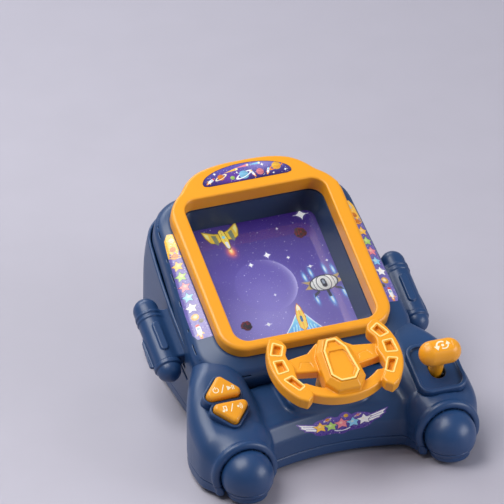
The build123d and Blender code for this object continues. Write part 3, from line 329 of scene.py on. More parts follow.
# ------------------------------------------------------------------ materials
def material(name, base, rough, coat=0.0, coat_rough=0.1, noise=0.05, bump=0.06, scale=900.0, spec=0.5, metal=0.0, wear=0.0, big=0.05, sss=0.0):
    m = bpy.data.materials.new(name); m.use_nodes = True
    nt = m.node_tree; b = nt.nodes["Principled BSDF"]
    b.inputs["Metallic"].default_value = metal
    b.inputs["Coat Weight"].default_value = coat
    b.inputs["Coat Roughness"].default_value = coat_rough
    b.inputs["Specular IOR Level"].default_value = spec
    if sss:
        b.inputs["Subsurface Weight"].default_value = sss
        b.inputs["Subsurface Radius"].default_value = (0.004, 0.002, 0.0008)
        b.inputs["Subsurface Scale"].default_value = 1.0
    tc = nt.nodes.new("ShaderNodeTexCoord")
    n1 = nt.nodes.new("ShaderNodeTexNoise"); n1.inputs["Scale"].default_value = 22.0; n1.inputs["Detail"].default_value = 3
    n2 = nt.nodes.new("ShaderNodeTexNoise"); n2.inputs["Scale"].default_value = scale; n2.inputs["Detail"].default_value = 2
    nt.links.new(tc.outputs["Object"], n1.inputs["Vector"]); nt.links.new(tc.outputs["Object"], n2.inputs["Vector"])
    ramp = nt.nodes.new("ShaderNodeValToRGB")
    k0, k1 = 1 - big, 1 + big
    ramp.color_ramp.elements[0].position = 0.3; ramp.color_ramp.elements[1].position = 0.7
    ramp.color_ramp.elements[0].color = (*[c * k0 for c in base], 1)
    ramp.color_ramp.elements[1].color = (*[min(1, c * k1) for c in base], 1)
    nt.links.new(n1.outputs["Fac"], ramp.inputs["Fac"])
    src = ramp.outputs["Color"]
    if wear:
        g = nt.nodes.new("ShaderNodeNewGeometry")
        r2 = nt.nodes.new("ShaderNodeValToRGB")
        r2.color_ramp.elements[0].position = 0.52; r2.color_ramp.elements[1].position = 0.62
        r2.color_ramp.elements[0].color = (0, 0, 0, 1); r2.color_ramp.elements[1].color = (wear, wear, wear, 1)
        mx = nt.nodes.new("ShaderNodeMix"); mx.data_type = "RGBA"
        mx.inputs["B"].default_value = (*[min(1, c * 1.5 + 0.03) for c in base], 1)
        nt.links.new(g.outputs["Pointiness"], r2.inputs["Fac"]); nt.links.new(r2.outputs["Color"], mx.inputs["Factor"])
        nt.links.new(src, mx.inputs["A"]); src = mx.outputs["Result"]
    nt.links.new(src, b.inputs["Base Color"])
    mr = nt.nodes.new("ShaderNodeMapRange")
    mr.inputs["To Min"].default_value = rough - noise; mr.inputs["To Max"].default_value = rough + noise
    nt.links.new(n2.outputs["Fac"], mr.inputs["Value"]); nt.links.new(mr.outputs["Result"], b.inputs["Roughness"])
    bp = nt.nodes.new("ShaderNodeBump"); bp.inputs["Strength"].default_value = bump; bp.inputs["Distance"].default_value = 0.0002
    nt.links.new(n2.outputs["Fac"], bp.inputs["Height"]); nt.links.new(bp.outputs["Normal"], b.inputs["Normal"])
    return m


def painted(name, rough=0.3, glow=0.0, coat=0.3):
    m = bpy.data.materials.new(name); m.use_nodes = True
    nt = m.node_tree; b = nt.nodes["Principled BSDF"]
    at = nt.nodes.new("ShaderNodeAttribute"); at.attribute_name = "paint"
    nt.links.new(at.outputs["Color"], b.inputs["Base Color"])
    b.inputs["Coat Weight"].default_value = coat; b.inputs["Coat Roughness"].default_value = 0.08
    tc = nt.nodes.new("ShaderNodeTexCoord"); n2 = nt.nodes.new("ShaderNodeTexNoise"); n2.inputs["Scale"].default_value = 700
    nt.links.new(tc.outputs["Object"], n2.inputs["Vector"])
    mr = nt.nodes.new("ShaderNodeMapRange"); mr.inputs["To Min"].default_value = rough - 0.05; mr.inputs["To Max"].default_value = rough + 0.05
    nt.links.new(n2.outputs["Fac"], mr.inputs["Value"]); nt.links.new(mr.outputs["Result"], b.inputs["Roughness"])
    if glow:
        nt.links.new(at.outputs["Color"], b.inputs["Emission Color"])
        b.inputs["Emission Strength"].default_value = glow
    return m


NAVY = material("navy_shell", (0.012, 0.050, 0.150), 0.40, coat=0.14, coat_rough=0.22, bump=0.05, wear=0.25)
NAVY_DEEP = material("navy_shroud", (0.020, 0.045, 0.110), 0.45, coat=0.1, bump=0.05)
YELLOW = material("yellow_trim", (0.86, 0.350, 0.012), 0.38, coat=0.14, coat_rough=0.2, bump=0.04, wear=0.25, big=0.03)
YELLOW_PALE = material("yellow_outline", (0.98, 0.74, 0.24), 0.35, coat=0.2, bump=0.02, big=0.02)
WHITE_INK = material("pale_ink", (0.93, 0.86, 0.62), 0.4, coat=0.1, bump=0.02, big=0.02)
STICKER = painted("printed_sticker", 0.28, 0.0, 0.5)
PICTURE = painted("lit_picture", 0.35, 0.50, 0.0)
BLACK = material("black_parts", (0.02, 0.02, 0.022), 0.5)
BOARD = material("board_green", (0.015, 0.12, 0.05), 0.45, coat=0.4, coat_rough=0.1, scale=400)
SILICONE = material("silicone_grey", (0.42, 0.43, 0.42), 0.6, sss=0.2)
BEARING = material("bearing_white", (0.78, 0.77, 0.72), 0.42)
STEEL = material("screw_steel", (0.55, 0.56, 0.58), 0.28, metal=1.0, noise=0.08, bump=0.12, scale=1500)
NICKEL = material("nickel_spring", (0.68, 0.66, 0.60), 0.22, metal=1.0, noise=0.06)
CONE = material("paper_cone", (0.035, 0.033, 0.032), 0.85, bump=0.3, scale=1600)
CELL = material("cell_jacket", (0.05, 0.14, 0.10), 0.3, coat=0.5, coat_rough=0.08)
LIGHT_GUIDE = material("light_guide", (0.86, 0.88, 0.88), 0.2, coat=0.3)
FLEX = material("flex_tail", (0.55, 0.26, 0.05), 0.35, coat=0.3)
RUBBER = material("foot_rubber", (0.03, 0.03, 0.033), 0.75, bump=0.2, scale=1300)

GLASS = bpy.data.materials.new("clear_window"); GLASS.use_nodes = True
_g = GLASS.node_tree.nodes["Principled BSDF"]
_g.inputs["Base Color"].default_value = (0.96, 0.97, 1, 1); _g.inputs["Transmission Weight"].default_value = 1.0
_g.inputs["IOR"].default_value = 1.46
_n = GLASS.node_tree.nodes.new("ShaderNodeTexNoise"); _n.inputs["Scale"].default_value = 60
_r = GLASS.node_tree.nodes.new("ShaderNodeMapRange"); _r.inputs["To Min"].default_value = 0.015; _r.inputs["To Max"].default_value = 0.05
GLASS.node_tree.links.new(_n.outputs["Fac"], _r.inputs["Value"]); GLASS.node_tree.links.new(_r.outputs["Result"], _g.inputs["Roughness"])

SLOT_MAT = {"navy_shell": NAVY, "navy_dark": NAVY_DEEP, "yellow_trim": YELLOW, "clear_window": GLASS, "display_art": BLACK,
            "sticker_print": WHITE_INK, "light_guide": LIGHT_GUIDE, "board": BOARD, "black_parts": BLACK, "flex_tail": FLEX,
            "silicone": SILICONE, "bearing_plastic": BEARING, "steel": STEEL, "nickel": NICKEL, "paper_cone": CONE,
            "cell_jacket": CELL, "foot_rubber": RUBBER}
for sp in frame["record"]["subparts"]:
    ob = N[sp["node"]]; mt = SLOT_MAT.get(sp.get("material_slot"), BLACK)
    if sp["node"] in ("lever_switch_board", "lever_pads", "lever_bracket"): mt = BLACK      # painted shade: board, pads and bracket behind the lever slot drawn black so the slot reads as shadow
    if not ob.material_slots: ob.data.materials.append(mt)
    for s_ in ob.material_slots: s_.material = mt


# ------------------------------------------------------------------ body shapes (symmetric in x)
OUTER = catmull([(49.5, 10), (56, 5.5), (69, 3.6), (82, 5.5), (92.5, 14), (94.3, 30), (92, 47), (84.5, 66), (72, 91)], 5)
INNER = catmull([(50, 91), (46.5, 62), (45.8, 46), (46.5, 30), (49.5, 10)], 3)[:-1]
MOUND = np.concatenate([OUTER, INNER])
TOP = catmull([(-10, 28), (8, 37), (31, 44.8), (50, 51.5), (66, 55.5), (92, 56)], 6)
MOUND_I = inset(MOUND, 11.5)
APRON = np.array([(24.6, 0.0), (24.8, 10.2), (25.4, 22), (30.5, 32.0), (40, 35), (56, 37), (72, 40), (72, 0)])
APRON_I = inset(APRON, 5.5)


HOUSE = inset([(-76, -70), (76, -70), (66, 76), (-66, 76)], 27)

def crown(u, v): return 0.384 * np.maximum(rrect(u, v - 4.25, 119, 125.5, 17), 0)

def housing(x, y, z, grow=0.0):
    u, v, w = SCREEN.local(x, y, z)
    d2 = poly(u, v, HOUSE) - 27 - grow
    return rmax(rmax(d2, w + 9 - grow + crown(u, v), 6.0), -27.5 - grow - w, 0.8)


def tub(x, y, z, grow=0.0):
    yd = y - Y0
    d = rrect(x, yd - 133.25, 146 + 2 * grow, 142.5 + 2 * grow, 24)
    u, v, w = SCREEN.local(x, y, z)
    side = poly(u, v, inset([(-86, -110), (86, -110), (67.5, 76), (-67.5, 76)], 24)) - 24 - grow
    d = smax(d, side, 3)
    return d, w


def front(x, y, z):
    """Outer surface of mounds, cowls, ball feet, apron and pod together."""
    ax = np.abs(x); yd = y - Y0
    plan = poly(ax, yd, MOUND_I) - 11.5
    t = np.interp(yd, TOP[:, 0], TOP[:, 1]); sl = np.interp(yd, TOP[:, 0], np.gradient(TOP[:, 1], TOP[:, 0]))
    # the crest leans gently down to the outer side
    lean = 0.0016 * np.maximum(ax - 62, 0) ** 2 + 0.004 * np.maximum(62 - ax, 0) ** 2
    top = (z - t + lean) / np.sqrt(1 + sl * sl)
    mound = rmax(plan, top, 12.5)
    # cowls with a rolled lip
    rr = np.hypot(ax - 68.7, z - 16.7)
    cowl = rmax(rr - 20.3, 2.6 - yd, 2.3)
    cowl = np.maximum(cowl, yd - 24)
    d = smin(mound, cowl, 7.0)
    lip = np.hypot(rr - 19.4, yd - 5.0) - 2.5
    d = smin(d, lip, 1.4)
    # apron: profile swept along a shallow arc
    ydc = yd + 0.0034 * x * x
    apron = poly(ydc, z, APRON_I) - 5.5
    apron = np.maximum(apron, ax - 60)
    u, v, w = WHEEL.local(x, y, z)
    pod = rmax(rrect(x, yd - (32 + 22), 56, 44, 8), w - (-36.63), 2.2)
    apron = rmin(apron, pod, 2.2)
    d = rmin(d, apron, 3.2)
    # annular groove round the ball, then the ball
    groove = np.maximum(rr - 17.3, yd - 6.6)
    d = rmax(d, -groove, 0.7)
    ball = np.sqrt((ax - 68.7) ** 2 + yd * yd + (z - 16.7) ** 2) - 16.7
    return np.minimum(d, ball)


BODY_LO = (-98.2, Y0 - 16.9, 0.0)
BODY_HI = (98.2, Y0 + 92, 58)


def tri(place, up, grow):
    bx, by = place
    k = 15.5 * 16.4 / (15.5 + math.hypot(15.5, 16.4)); f = (k + grow) / k
    base, apex = -7.3, -7.3 + 16.4; c = base + k
    return [(bx - 15.5 * f, by + up * (c + (base - c) * f)), (bx + 15.5 * f, by + up * (c + (base - c) * f)), (bx, by + up * (c + (apex - c) * f))]

BTN = (((-1.1, 9.1), 1), ((0.6, -9.1), -1))
TRI = {g: [inset(tri(p, s, g), 3.2 + g) for p, s in BTN] for g in (0.0, 0.4, 2.1)}

def tri_d(u, v, k, g): return poly(u, v, TRI[g][k]) - 3.2 - g


def front_shell(x, y, z):
    d = front(x, y, z)
    shell = np.maximum(d, -(d + 2.3))
    shell = rmax(shell, PART_Z + 0.0 - z, 0.4)
    shell = np.maximum(shell, -housing(x, y, z, -1.0))
    t, w = tub(x, y, z, -1.0)
    shell = np.maximum(shell, -np.maximum(t, w + 27.2))
    u, v, w = BUTTONS.local(x, y, z)
    for k in (0, 1):
        shell = np.maximum(shell, -np.maximum(tri_d(u, v, k, 0.4), -16 - w))
    u, v, w = LEVER.local(x, y, z)
    shell = np.maximum(shell, -np.maximum(rrect(u, v, 33.0, 39.0, 8), -6.1 - w))
    shell = np.maximum(shell, -np.maximum(rrect(u, v, 27.0, 33.0, 5), -20 - w))
    u, v, w = WHEEL.local(x, y, z)
    shell = np.maximum(shell, -(np.hypot(u, v) - 4.5))
    return shell


def bottom(x, y, z):
    ax = np.abs(x); yd = y - Y0
    d = front(x, y, np.maximum(z, 6.5))
    ball = np.sqrt((ax - 68.7) ** 2 + yd * yd + (z - 16.7) ** 2) - 16.7
    d = np.minimum(d, rrect(x, yd - 133.25, 146, 142.5, 24))
    d = np.maximum(d, rrect(ax * 0, yd - 100, 10, 236, 2))
    body = d + 0.3
    o = rmax(body, BASE_Z - z, 1.2)
    inner = np.maximum(body + 2.2, BASE_Z + 2.2 - z)
    o = np.maximum(o, -inner)
    lug = np.minimum(o, np.maximum(ball, 0.0 - z))
    o = np.maximum(lug, -np.maximum(ball + 2.2, 4 - z))
    o = np.maximum(o, z - PART_Z + 0.05)
    # battery well
    well = np.maximum(rrect(x, yd - 131, 65, 58, 1.5), np.abs(z - 13.75) - 10.75)
    o = np.minimum(o, well)
    o = np.maximum(o, -np.maximum(rrect(x, yd - 131, 61, 54, 0.8), z - 22.5))
    # grille slots, screw passages, door tab rebate
    for k in range(6):
        o = np.maximum(o, -np.maximum(rrect(x, yd - (64.75 + 4.5 * k), 26, 2, 0.99), z - 9))
    for sx, sy in ((60, 85), (50, 185), (36, 43)):
        r = np.hypot(ax - sx, yd - sy)
        o = np.minimum(o, np.maximum(r - 4.4, np.abs(z - 6.6) - 3.55))
        o = np.maximum(o, -np.maximum(r - 2.9, z - (BASE_Z + 3.4)))
        o = np.maximum(o, -(r - 1.6))
    r = np.hypot(x, yd - 99.5)
    o = np.minimum(o, np.maximum(r - 4, np.abs(z - 9.2) - 4))
    o = np.maximum(o, -np.maximum(rrect(x, yd - 99.5, 14, 13, 3), z - BASE_Z - 1.6))
    o = np.maximum(o, -np.maximum(r - 1.25, z - 12))
    return o


def housing_shell(x, y, z):
    u, v, w = SCREEN.local(x, y, z)
    d = housing(x, y, z)
    d2 = poly(u, v, HOUSE) - 27
    inner = np.maximum(d2 + 2.4, w + 11.4 + crown(u, v))
    d = np.maximum(d, -inner)
    hole = rrect(u, v - 5.75, 103, 119.5, 12.5)
    return rmax(d, -hole, 0.4)


def rear_shell(x, y, z):
    yd = y - Y0; ax = np.abs(x)
    t, w = tub(x, y, z)
    top = w + 27.8
    # tub capped under the housing plane with a rounded edge
    d = rmax(t, top, 0.8)
    d = np.maximum(d, -(np.maximum(t, top - 3) + 2.2))
    d = rmax(d, PART_Z + 0.05 - z, 0.3)
    # rail along the seam
    rail = np.maximum(np.maximum(np.abs(w + 37.5) - 1.3, t - 0.0), -(t + 3))
    d = np.minimum(d, np.maximum(rail, PART_Z + 4 - z))
    for k, (a, b) in enumerate(((104, 33), (107.5, 39.5), (111, 46))):
        c = np.hypot(np.maximum(np.abs((yd - a) * 0.94 + (z - b) * 0.34) - 4.8, 0), -(yd - a) * 0.34 + (z - b) * 0.94) - 0.95
        d = rmax(d, -np.maximum(c, 71.8 - ax), 0.3)
    bay = np.maximum(np.maximum(ax - 44, np.abs(yd - 62) - 6), np.abs(z - (PART_Z + 10)) - 20)
    d = np.maximum(d, -bay)
    for sx, sy in ((60, 85), (50, 185)):
        r = np.hypot(ax - sx, yd - sy)
        d = np.minimum(d, np.maximum(r - 4.4, np.abs(z - 21.2) - 10.9))
        d = np.maximum(d, -np.maximum(r - 1.2, z - 22))
    return d


H = 0.85
solid("front_shell", front_shell, BODY_LO, BODY_HI, H, NAVY, "console", node="front_body")
solid("base_tray", bottom, (-98.2, Y0 - 16.9, 0.0), (98.2, Y0 + 204.6, 24.6), 1.0, NAVY, "console", node="bottom_shell")


def in_screen(f):
    """f(x, y, z) seen from the screen plane's own axes."""
    def g(u, v, w):
        y = SCREEN.o[1] + v * SCREEN.ey[1] + w * SCREEN.ez[1]
        z = SCREEN.o[2] + v * SCREEN.ey[2] + w * SCREEN.ez[2]
        return f(u, y, z)
    return g

solid("display_housing", in_screen(housing_shell), (-76.1, -70.1, -27.6), (76.1, 76.1, -9), 0.75, NAVY, "console", SCREEN, node="screen_housing")
solid("rear_case", rear_shell, (-73.1, Y0 + 61.9, 10), (73.1, Y0 + 204.6, 101), 1.0, NAVY, "console", node="rear_housing")


def collars(u, v, w):
    y = BUTTONS.o[1] + v * BUTTONS.ey[1] + w * BUTTONS.ez[1]; z = BUTTONS.o[2] + v * BUTTONS.ey[2] + w * BUTTONS.ez[2]
    d = None
    for k in (0, 1):
        a = rmax(tri_d(u, v, k, 2.1), w + 0.4, 0.8)
        a = rmax(a, -tri_d(u, v, k, 0.4), 0.25)
        d = a if d is None else np.minimum(d, a)
    return np.maximum(d, -(front(u + BUTTONS.o[0], y, z) + 1.2))

solid("button_collars", collars, (-21, -20, -14), (20.5, 20, -0.4), 0.4, NAVY, "console", BUTTONS, node="front_body")


# ------------------------------------------------------------------ screen frame and shroud
ARCH = catmull([(-55.5, 56), (-51.5, 64.5), (-46, 70.5), (-39, 78.2), (-30, 83.6), (-16, 86.6), (0, 87.1), (16, 86.6), (30, 83.6),
                (39, 78.2), (46, 70.5), (51.5, 64.5), (55.5, 56)], 4)
ARCH = np.concatenate([ARCH, [(40, 50), (-40, 50)]])


def frame_solid(u, v, w):
    o = np.minimum(rrect(u, v - 4.25, 117, 123.5, 17), poly(u, v, ARCH))
    o = rmin(rrect(u, v - 4.25, 117, 123.5, 17), poly(u, v, ARCH), 4.0)
    hole = rrect(u, v - 5.75, 97, 113.5, 9.5)
    face = rmax(rmax(o, w, 2.6), -9 - w, 0.5)
    lip = np.maximum(rrect(u, v - 5.75, 102.6, 119.1, 12.3), np.abs(w + 10) - 3)
    d = np.minimum(face, lip)
    return rmax(d, -hole, 1.3)

solid("screen_bezel", frame_solid, (-58.5, -57.5, -13), (58.5, 87.2, 0), 0.55, YELLOW, "console", SCREEN, node="screen_frame")


# ------------------------------------------------------------------ boosters
class Axis3:
    """Local axes of one booster: x outward, y square to the slope, z along it."""
    def __init__(s, side):
        s.o = np.array([side * 85.0, Y0 + 120.8, 49.6]); s.ex = np.array([side, 0, 0.0])
        s.ey = np.array([0, -sn(24), cs(24)]); s.ez = np.array([0, cs(24), sn(24)])

    def world(s, P):
        P = np.asarray(P, float)
        return s.o + P[..., 0:1] * s.ex + P[..., 1:2] * s.ey + P[..., 2:3] * s.ez


def booster(a, b, c):
    r = np.hypot(a, b)
    body = np.where(c > 23.7, np.sqrt(a * a + b * b + (c - 23.7) ** 2) - 8.3, np.maximum(r - 8.3, -19.2 - c))
    for t in (14.0, 17.5):
        body = rmin(body, np.maximum(r - 8.8, np.abs(c - t - 0.8) - 0.8), 0.3)
    pyl = np.maximum(rmax(np.abs(b) - 5.5, np.abs(c - 1) - 18.8, 1.6), np.maximum(a - 0, -17.5 - a))
    body = smin(body, pyl, 2.0)
    fin = np.maximum(poly(c, a, inset([(-19, 4), (5, 4), (2.5, 9.4), (-12, 10.5), (-18, 10.5)], 1.4)) - 1.4, np.abs(b + 2.5) - 1.3)
    body = smin(body, rmax(fin, np.abs(b + 2.5) - 1.3, 0.7), 1.2)
    qx = np.maximum(np.abs(c + 2) - 8.4, 0)
    pill = rmax(np.hypot(qx, a) - 2.6, b - 9.6, 0.8)
    pill = np.maximum(pill, 4 - b)
    body = rmin(body, pill, 0.5)
    # shallow flat on the upper inner side
    y = Y0 + 120.8 - b * sn(24) + c * cs(24); z = 49.6 + b * cs(24) + c * sn(24)
    t, w = tub(85.0 + a, y, z, -0.6)
    return np.maximum(body, -np.maximum(t, w + 27.2))


def nozzle(a, b, c):
    r = np.hypot(a, b)
    ring = rmax(rmax(r - 9.0, -22.6 - c, 0.9), c + 19.3, 0.5)
    dome = np.maximum(np.sqrt(a * a + b * b + (c + 23.4) ** 2) - 7.9, c + 22)
    return rmin(ring, dome, 0.4)

for side, s in (("left", -1), ("right", 1)):
    A = Axis3(s)
    v, q = surface(booster, (-15, -8.9, -19.3), (10.6, 9.8, 32.1), 0.5)
    ob = mesh_object("side_booster_" + side, A.world(v), q if s < 0 else q[:, ::-1], NAVY, "console")
    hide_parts("booster_" + side)
    v, q = surface(nozzle, (-9, -9, -31.5), (9, 9, -19.2), 0.5)
    ob = mesh_object("booster_tail_" + side, A.world(v), q if s < 0 else q[:, ::-1], NAVY, "console")
    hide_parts("booster_nozzle_" + side)


# ------------------------------------------------------------------ steering wheel
GRIP = np.concatenate([
    catmull([(33.0, 23.6), (37.0, 22.9), (41.4, 13.4), (43.4, 2.0), (42.3, -10.5), (38.6, -20.3), (33.5, -27.7)], 5),
    [(28.6, -31.0), (24.4, -27.4), (23.2, -23.4)],
    catmull([(23.2, -23.4), (27.2, -18.0), (29.2, -12.5), (29.0, -6.5), (28.0, -0.5), (29.9, 4.8), (30.0, 9.5), (27.4, 15.2), (29.0, 20.4)], 4)[1:]])
GRIP_I = inset(GRIP, 1.2)
WINDOWS = [[(29.8, 15.8), (35.2, 19.6), (40.0, 10.4), (33.4, 8.4)],
           [(33.6, 4.7), (40.0, 5.0), (40.3, -5.4), (33.0, -4.3)],
           [(32.4, -8.8), (38.4, -10.6), (31.6, -21.2), (27.3, -18.6)]]
WIN_HOLE = [inset(p, 1.15) for p in WINDOWS]
SPOKE = [(-31, 6.6), (-15.5, 9.0), (-7.5, 15.6), (7.5, 15.6), (15.5, 9.0), (31, 6.6), (31, -4.0), (13.5, -7.0), (9.5, -26), (-9.5, -26), (-13.5, -7.0), (-31, -4.0)]
SPOKE_I = inset(SPOKE, 0.8)
HUB = inset([(-6.5, 15), (6.5, 15), (12, 4), (13.6, -19.5), (7.5, -27.4), (-7.5, -27.4), (-13.6, -19.5), (-12, 4)], 0.9)
CAP = [(-3.1, 10.8), (3.1, 10.8), (7.8, 2.55), (9.6, -17.55), (4.85, -23.5), (-4.85, -23.5), (-9.6, -17.55), (-7.8, 2.55)]
POD_TOP = (POD := (Y0 + 32 - WHEEL.o[1]) * WHEEL.ez[1] + (38.7 - 75.2) * WHEEL.ez[2])


def wheel(u, v, w):
    a = np.abs(u)
    grip = rmax(rmax(poly(a, v, GRIP_I) - 1.2, w, 1.5), -9 - w, 1.6)
    for P in WIN_HOLE:
        grip = rmax(grip, -np.maximum(poly(a, v, inset(P, 0.4)) - 0.4, -2.7 - w), 0.3)
    spoke = rmax(rmax(poly(u, v, SPOKE_I) - 0.8, w + 3, 1.3), -10 - w, 1.0)
    for A, B in (((15.6, -2.6), (16.3, 1.2)), ((16.3, 1.2), (22.2, 2.4)), ((22.2, 2.4), (24.6, -1.4))):
        spoke = rmax(spoke, -(np.hypot(seg(a, v, *A, *B), w + 3) - 0.34), 0.2)
    h2 = poly(u, v, HUB) - 0.9
    hub = rmax(rmax(h2, w - 4, 0.4), (h2 + w - 4 + 3.6) * 0.7071, 0.5)
    hub = np.maximum(hub, -10 - w)
    ring = np.hypot(u, v - 5.0)
    # low arc between the grips
    low = rmax(np.abs(np.hypot(u, v - 13.4) - 39.8) - 3.9, v + 13.5, 0.8)
    low = np.maximum(low, a - 30)
    low = rmax(rmax(low, w + 3.4, 1.4), -12 - w, 1.2)
    col = np.maximum(np.hypot(u, v) - 9.0, np.maximum(w + 8, POD_TOP + 1.6 - w))
    d = rmin(rmin(spoke, hub, 0.4), low, 0.5)
    d = rmin(d, grip, 0.6)
    d = rmin(d, col, 0.8)
    cap = np.maximum(poly(u, v, CAP) - 0.12, 2.4 - w)
    d = np.maximum(d, -cap)
    sock = np.maximum(np.hypot(u, v) - 2.5, w + 18)
    return np.maximum(d, -sock)

solid("driving_wheel", wheel, (-43.6, -31.1, -36), (43.6, 23.8, 4.0), 0.42, YELLOW, "wheel", WHEEL, node="steering_wheel")


def hub_cap(u, v, w):
    d = rmax(rmax(poly(u, v, inset(CAP, 0.5)) - 0.5, w - 4.6, 0.35), 2.4 - w, 0.2)
    p1 = poly(u, v, inset([(-2.7, 8.9), (2.4, 8.9), (4.9, 4.0), (-4.6, 4.0)], 0.5)) - 0.5
    p2 = poly(u, v, inset([(-4.6, 1.2), (4.8, 1.2), (6.3, -1.4), (7.7, -14.6), (4.3, -20.2), (-4.0, -20.2), (-7.4, -15.6), (-6.0, -2.2)], 0.6)) - 0.6
    for p in (p1, p2):
        d = rmax(d, -np.maximum(p, 3.5 - w), 0.2)
    return d

solid("hub_cap_panel", hub_cap, (-9.7, -23.6, 2.4), (9.7, 10.9, 4.6), 0.3, YELLOW, "wheel", WHEEL, node="wheel_hub_cap")


def rounded(P, grow, r, k=5):
    """Outline grown by grow with corner radius r, k points per corner (same count for every grow)."""
    Q = inset(P, r - grow); n = len(Q); out = []
    area = 0.5 * sum(Q[i - 1][0] * Q[i][1] - Q[i][0] * Q[i - 1][1] for i in range(n)); sg = 1 if area > 0 else -1
    for i in range(n):
        a, b, c = Q[i - 1], Q[i], Q[(i + 1) % n]
        n1 = np.array([(b - a)[1], -(b - a)[0]]) * sg; n2 = np.array([(c - b)[1], -(c - b)[0]]) * sg
        a1, a2 = math.atan2(n1[1], n1[0]), math.atan2(n2[1], n2[0])
        dl = (a2 - a1 + math.pi) % (2 * math.pi) - math.pi
        for j in range(k):
            t = a1 + dl * j / (k - 1); out.append(b + r * np.array([math.cos(t), math.sin(t)]))
    return np.array(out)


def ridge(name, P, g0, g1, z0, z1, plane, mat, body, mirror=False, r0=0.5, bev=0.12):
    """Raised rounded line between two offsets of outline P."""
    prof = [(g0, z0), (g0, z1 - bev), (g0 + bev, z1), (g1 - bev, z1), (g1, z1 - bev), (g1, z0)]
    rings = [rounded(P, g, r0 + max(0, g)) for g, _ in prof]
    m = len(rings[0]); V = np.concatenate([np.c_[R, np.full(m, z)] for R, (_, z) in zip(rings, prof)])
    area = 0.5 * np.sum(rings[0][:-1, 0] * rings[0][1:, 1] - rings[0][1:, 0] * rings[0][:-1, 1])
    F = []
    for i in range(len(prof)):
        j = (i + 1) % len(prof)
        for k in range(m):
            l = (k + 1) % m; F.append((i * m + k, i * m + l, j * m + l, j * m + k))
    F = np.array(F)
    if area > 0: F = F[:, ::-1]
    if mirror: V = V * [-1, 1, 1]; F = F[:, ::-1]
    return mesh_object(name, plane.world(V), F, mat, body, smooth=False)

for i, P in enumerate(WINDOWS):
    for sd, mir in (("right", False), ("left", True)):
        ob = ridge(f"grip_outline_{sd}_{i + 1}", inset(P, 0.2), -0.2, 0.8, -0.35, 0.28, WHEEL, YELLOW_PALE, "wheel", mir)
        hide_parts("steering_wheel")
ob = ridge("hub_outline", inset(CAP, 0.3), -1.0, 0.2, 4.3, 4.9, WHEEL, YELLOW_PALE, "wheel", r0=1.3)
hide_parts("wheel_hub_cap")


# ------------------------------------------------------------------ lever plate and knob
def plate(u, v, w):
    d = rmax(rmax(rrect(u, v, 32.6, 38.6, 7.9), w, 1.3), -6 - w, 0.3)
    tray = rmax(rrect(u, v, 27.2, 33.2, 5.4), -2.0 - w, 0.0001)
    d = rmax(d, -np.maximum(rrect(u, v, 27.2, 33.2, 5.4), -2.1 - w), 0.45)
    slot = np.hypot(u, np.maximum(np.abs(v) - 3.3, 0)) - 5.15
    return rmax(d, -slot, 0.4)

solid("lever_surround", plate, (-16.4, -19.4, -6), (16.4, 19.4, 0), 0.4, NAVY, "console", LEVER, node="lever_plate")


def knob(u, v, w):
    q = np.maximum(np.abs(u) - 5.8, 0)
    d = np.sqrt(q * q + v * v + (w - 14.5) ** 2) - 8.2
    r = np.hypot(u, v)
    # short skirt where the stem goes in
    neck = np.maximum(r - 4.75, np.abs(w - 8) - 2.0)
    d = smin(d, neck, 0.9)
    # flat pressed into the top for the printed sign
    pocket = np.maximum(rrect(u - 0.5, v, 13.5, 11.0, 2.0), 21.9 - w)
    return rmax(d, -pocket, 0.6)

solid("shift_knob", knob, (-14, -8.2, 6.0), (14, 8.2, 22.7), 0.4, YELLOW, "lever", LEVER, node="lever_knob")


# ------------------------------------------------------------------ push buttons
for k, nm, bd in ((0, "start_button", "start_key"), (1, "mode_button", "mode_key")):
    px, py = BTN[k][0]
    def btn(u, v, w, k=k, px=px, py=py):
        d2 = tri_d(u, v, k, 0.0)
        dome = w - 4.0 + 0.0022 * ((u - px) ** 2 + (v - py) ** 2)
        d = rmax(rmax(d2, dome, 2.3), -8 - w, 0.4)
        return np.minimum(d, np.maximum(np.hypot(u - px, v - py) - 2.4, np.abs(w + 9) - 1.4))
    solid(nm.replace("button", "key_top"), btn, (px - 15.6, py - 9.4, -10.4), (px + 15.6, py + 9.4, 4.0), 0.35, YELLOW, bd, BUTTONS, node=nm)

# ------------------------------------------------------------------ printed signs on keys and knob
BX = lambda k: BTN[k][0]

def sign_power(u, v):      # power sign, slash, play sign with a bar
    d = arc(u, v, -5.0, 0, 1.75, 0.55, 125, 415)
    d = np.minimum(d, seg(u, v, -5.0, 0.7, -5.0, 2.3) - 0.3)
    d = np.minimum(d, seg(u, v, -1.6, -2.4, 0.9, 2.6) - 0.3)
    p = np.maximum(np.maximum(-(u - 2.6), (u - 2.6) * 0.5 + np.abs(v) * 0.87 - 1.5), -5)
    d = np.minimum(d, p)
    return np.minimum(d, np.minimum(seg(u, v, 6.0, -1.3, 6.0, 1.3), seg(u, v, 7.0, -1.3, 7.0, 1.3)) - 0.28)

def sign_sound(u, v):      # two small steps, slash, round dial mark
    d = np.minimum(seg(u, v, -5.6, -1.6, -5.6, 1.6), np.minimum(seg(u, v, -5.6, 1.6, -3.8, 1.6), seg(u, v, -3.8, 1.6, -3.8, -1.2))) - 0.3
    d = np.minimum(d, np.minimum(disc(u, v, -6.1, -1.6, 0.75), disc(u, v, -4.3, -1.3, 0.75)))
    d = np.minimum(d, seg(u, v, -1.4, -2.6, 1.0, 2.4) - 0.3)
    d = np.minimum(d, disc(u, v, 4.1, 0, 0.8))
    d = np.minimum(d, arc(u, v, 4.1, 0, 1.7, 0.42, -55, 55))
    return np.minimum(d, arc(u, v, 4.1, 0, 2.6, 0.42, -50, 50))

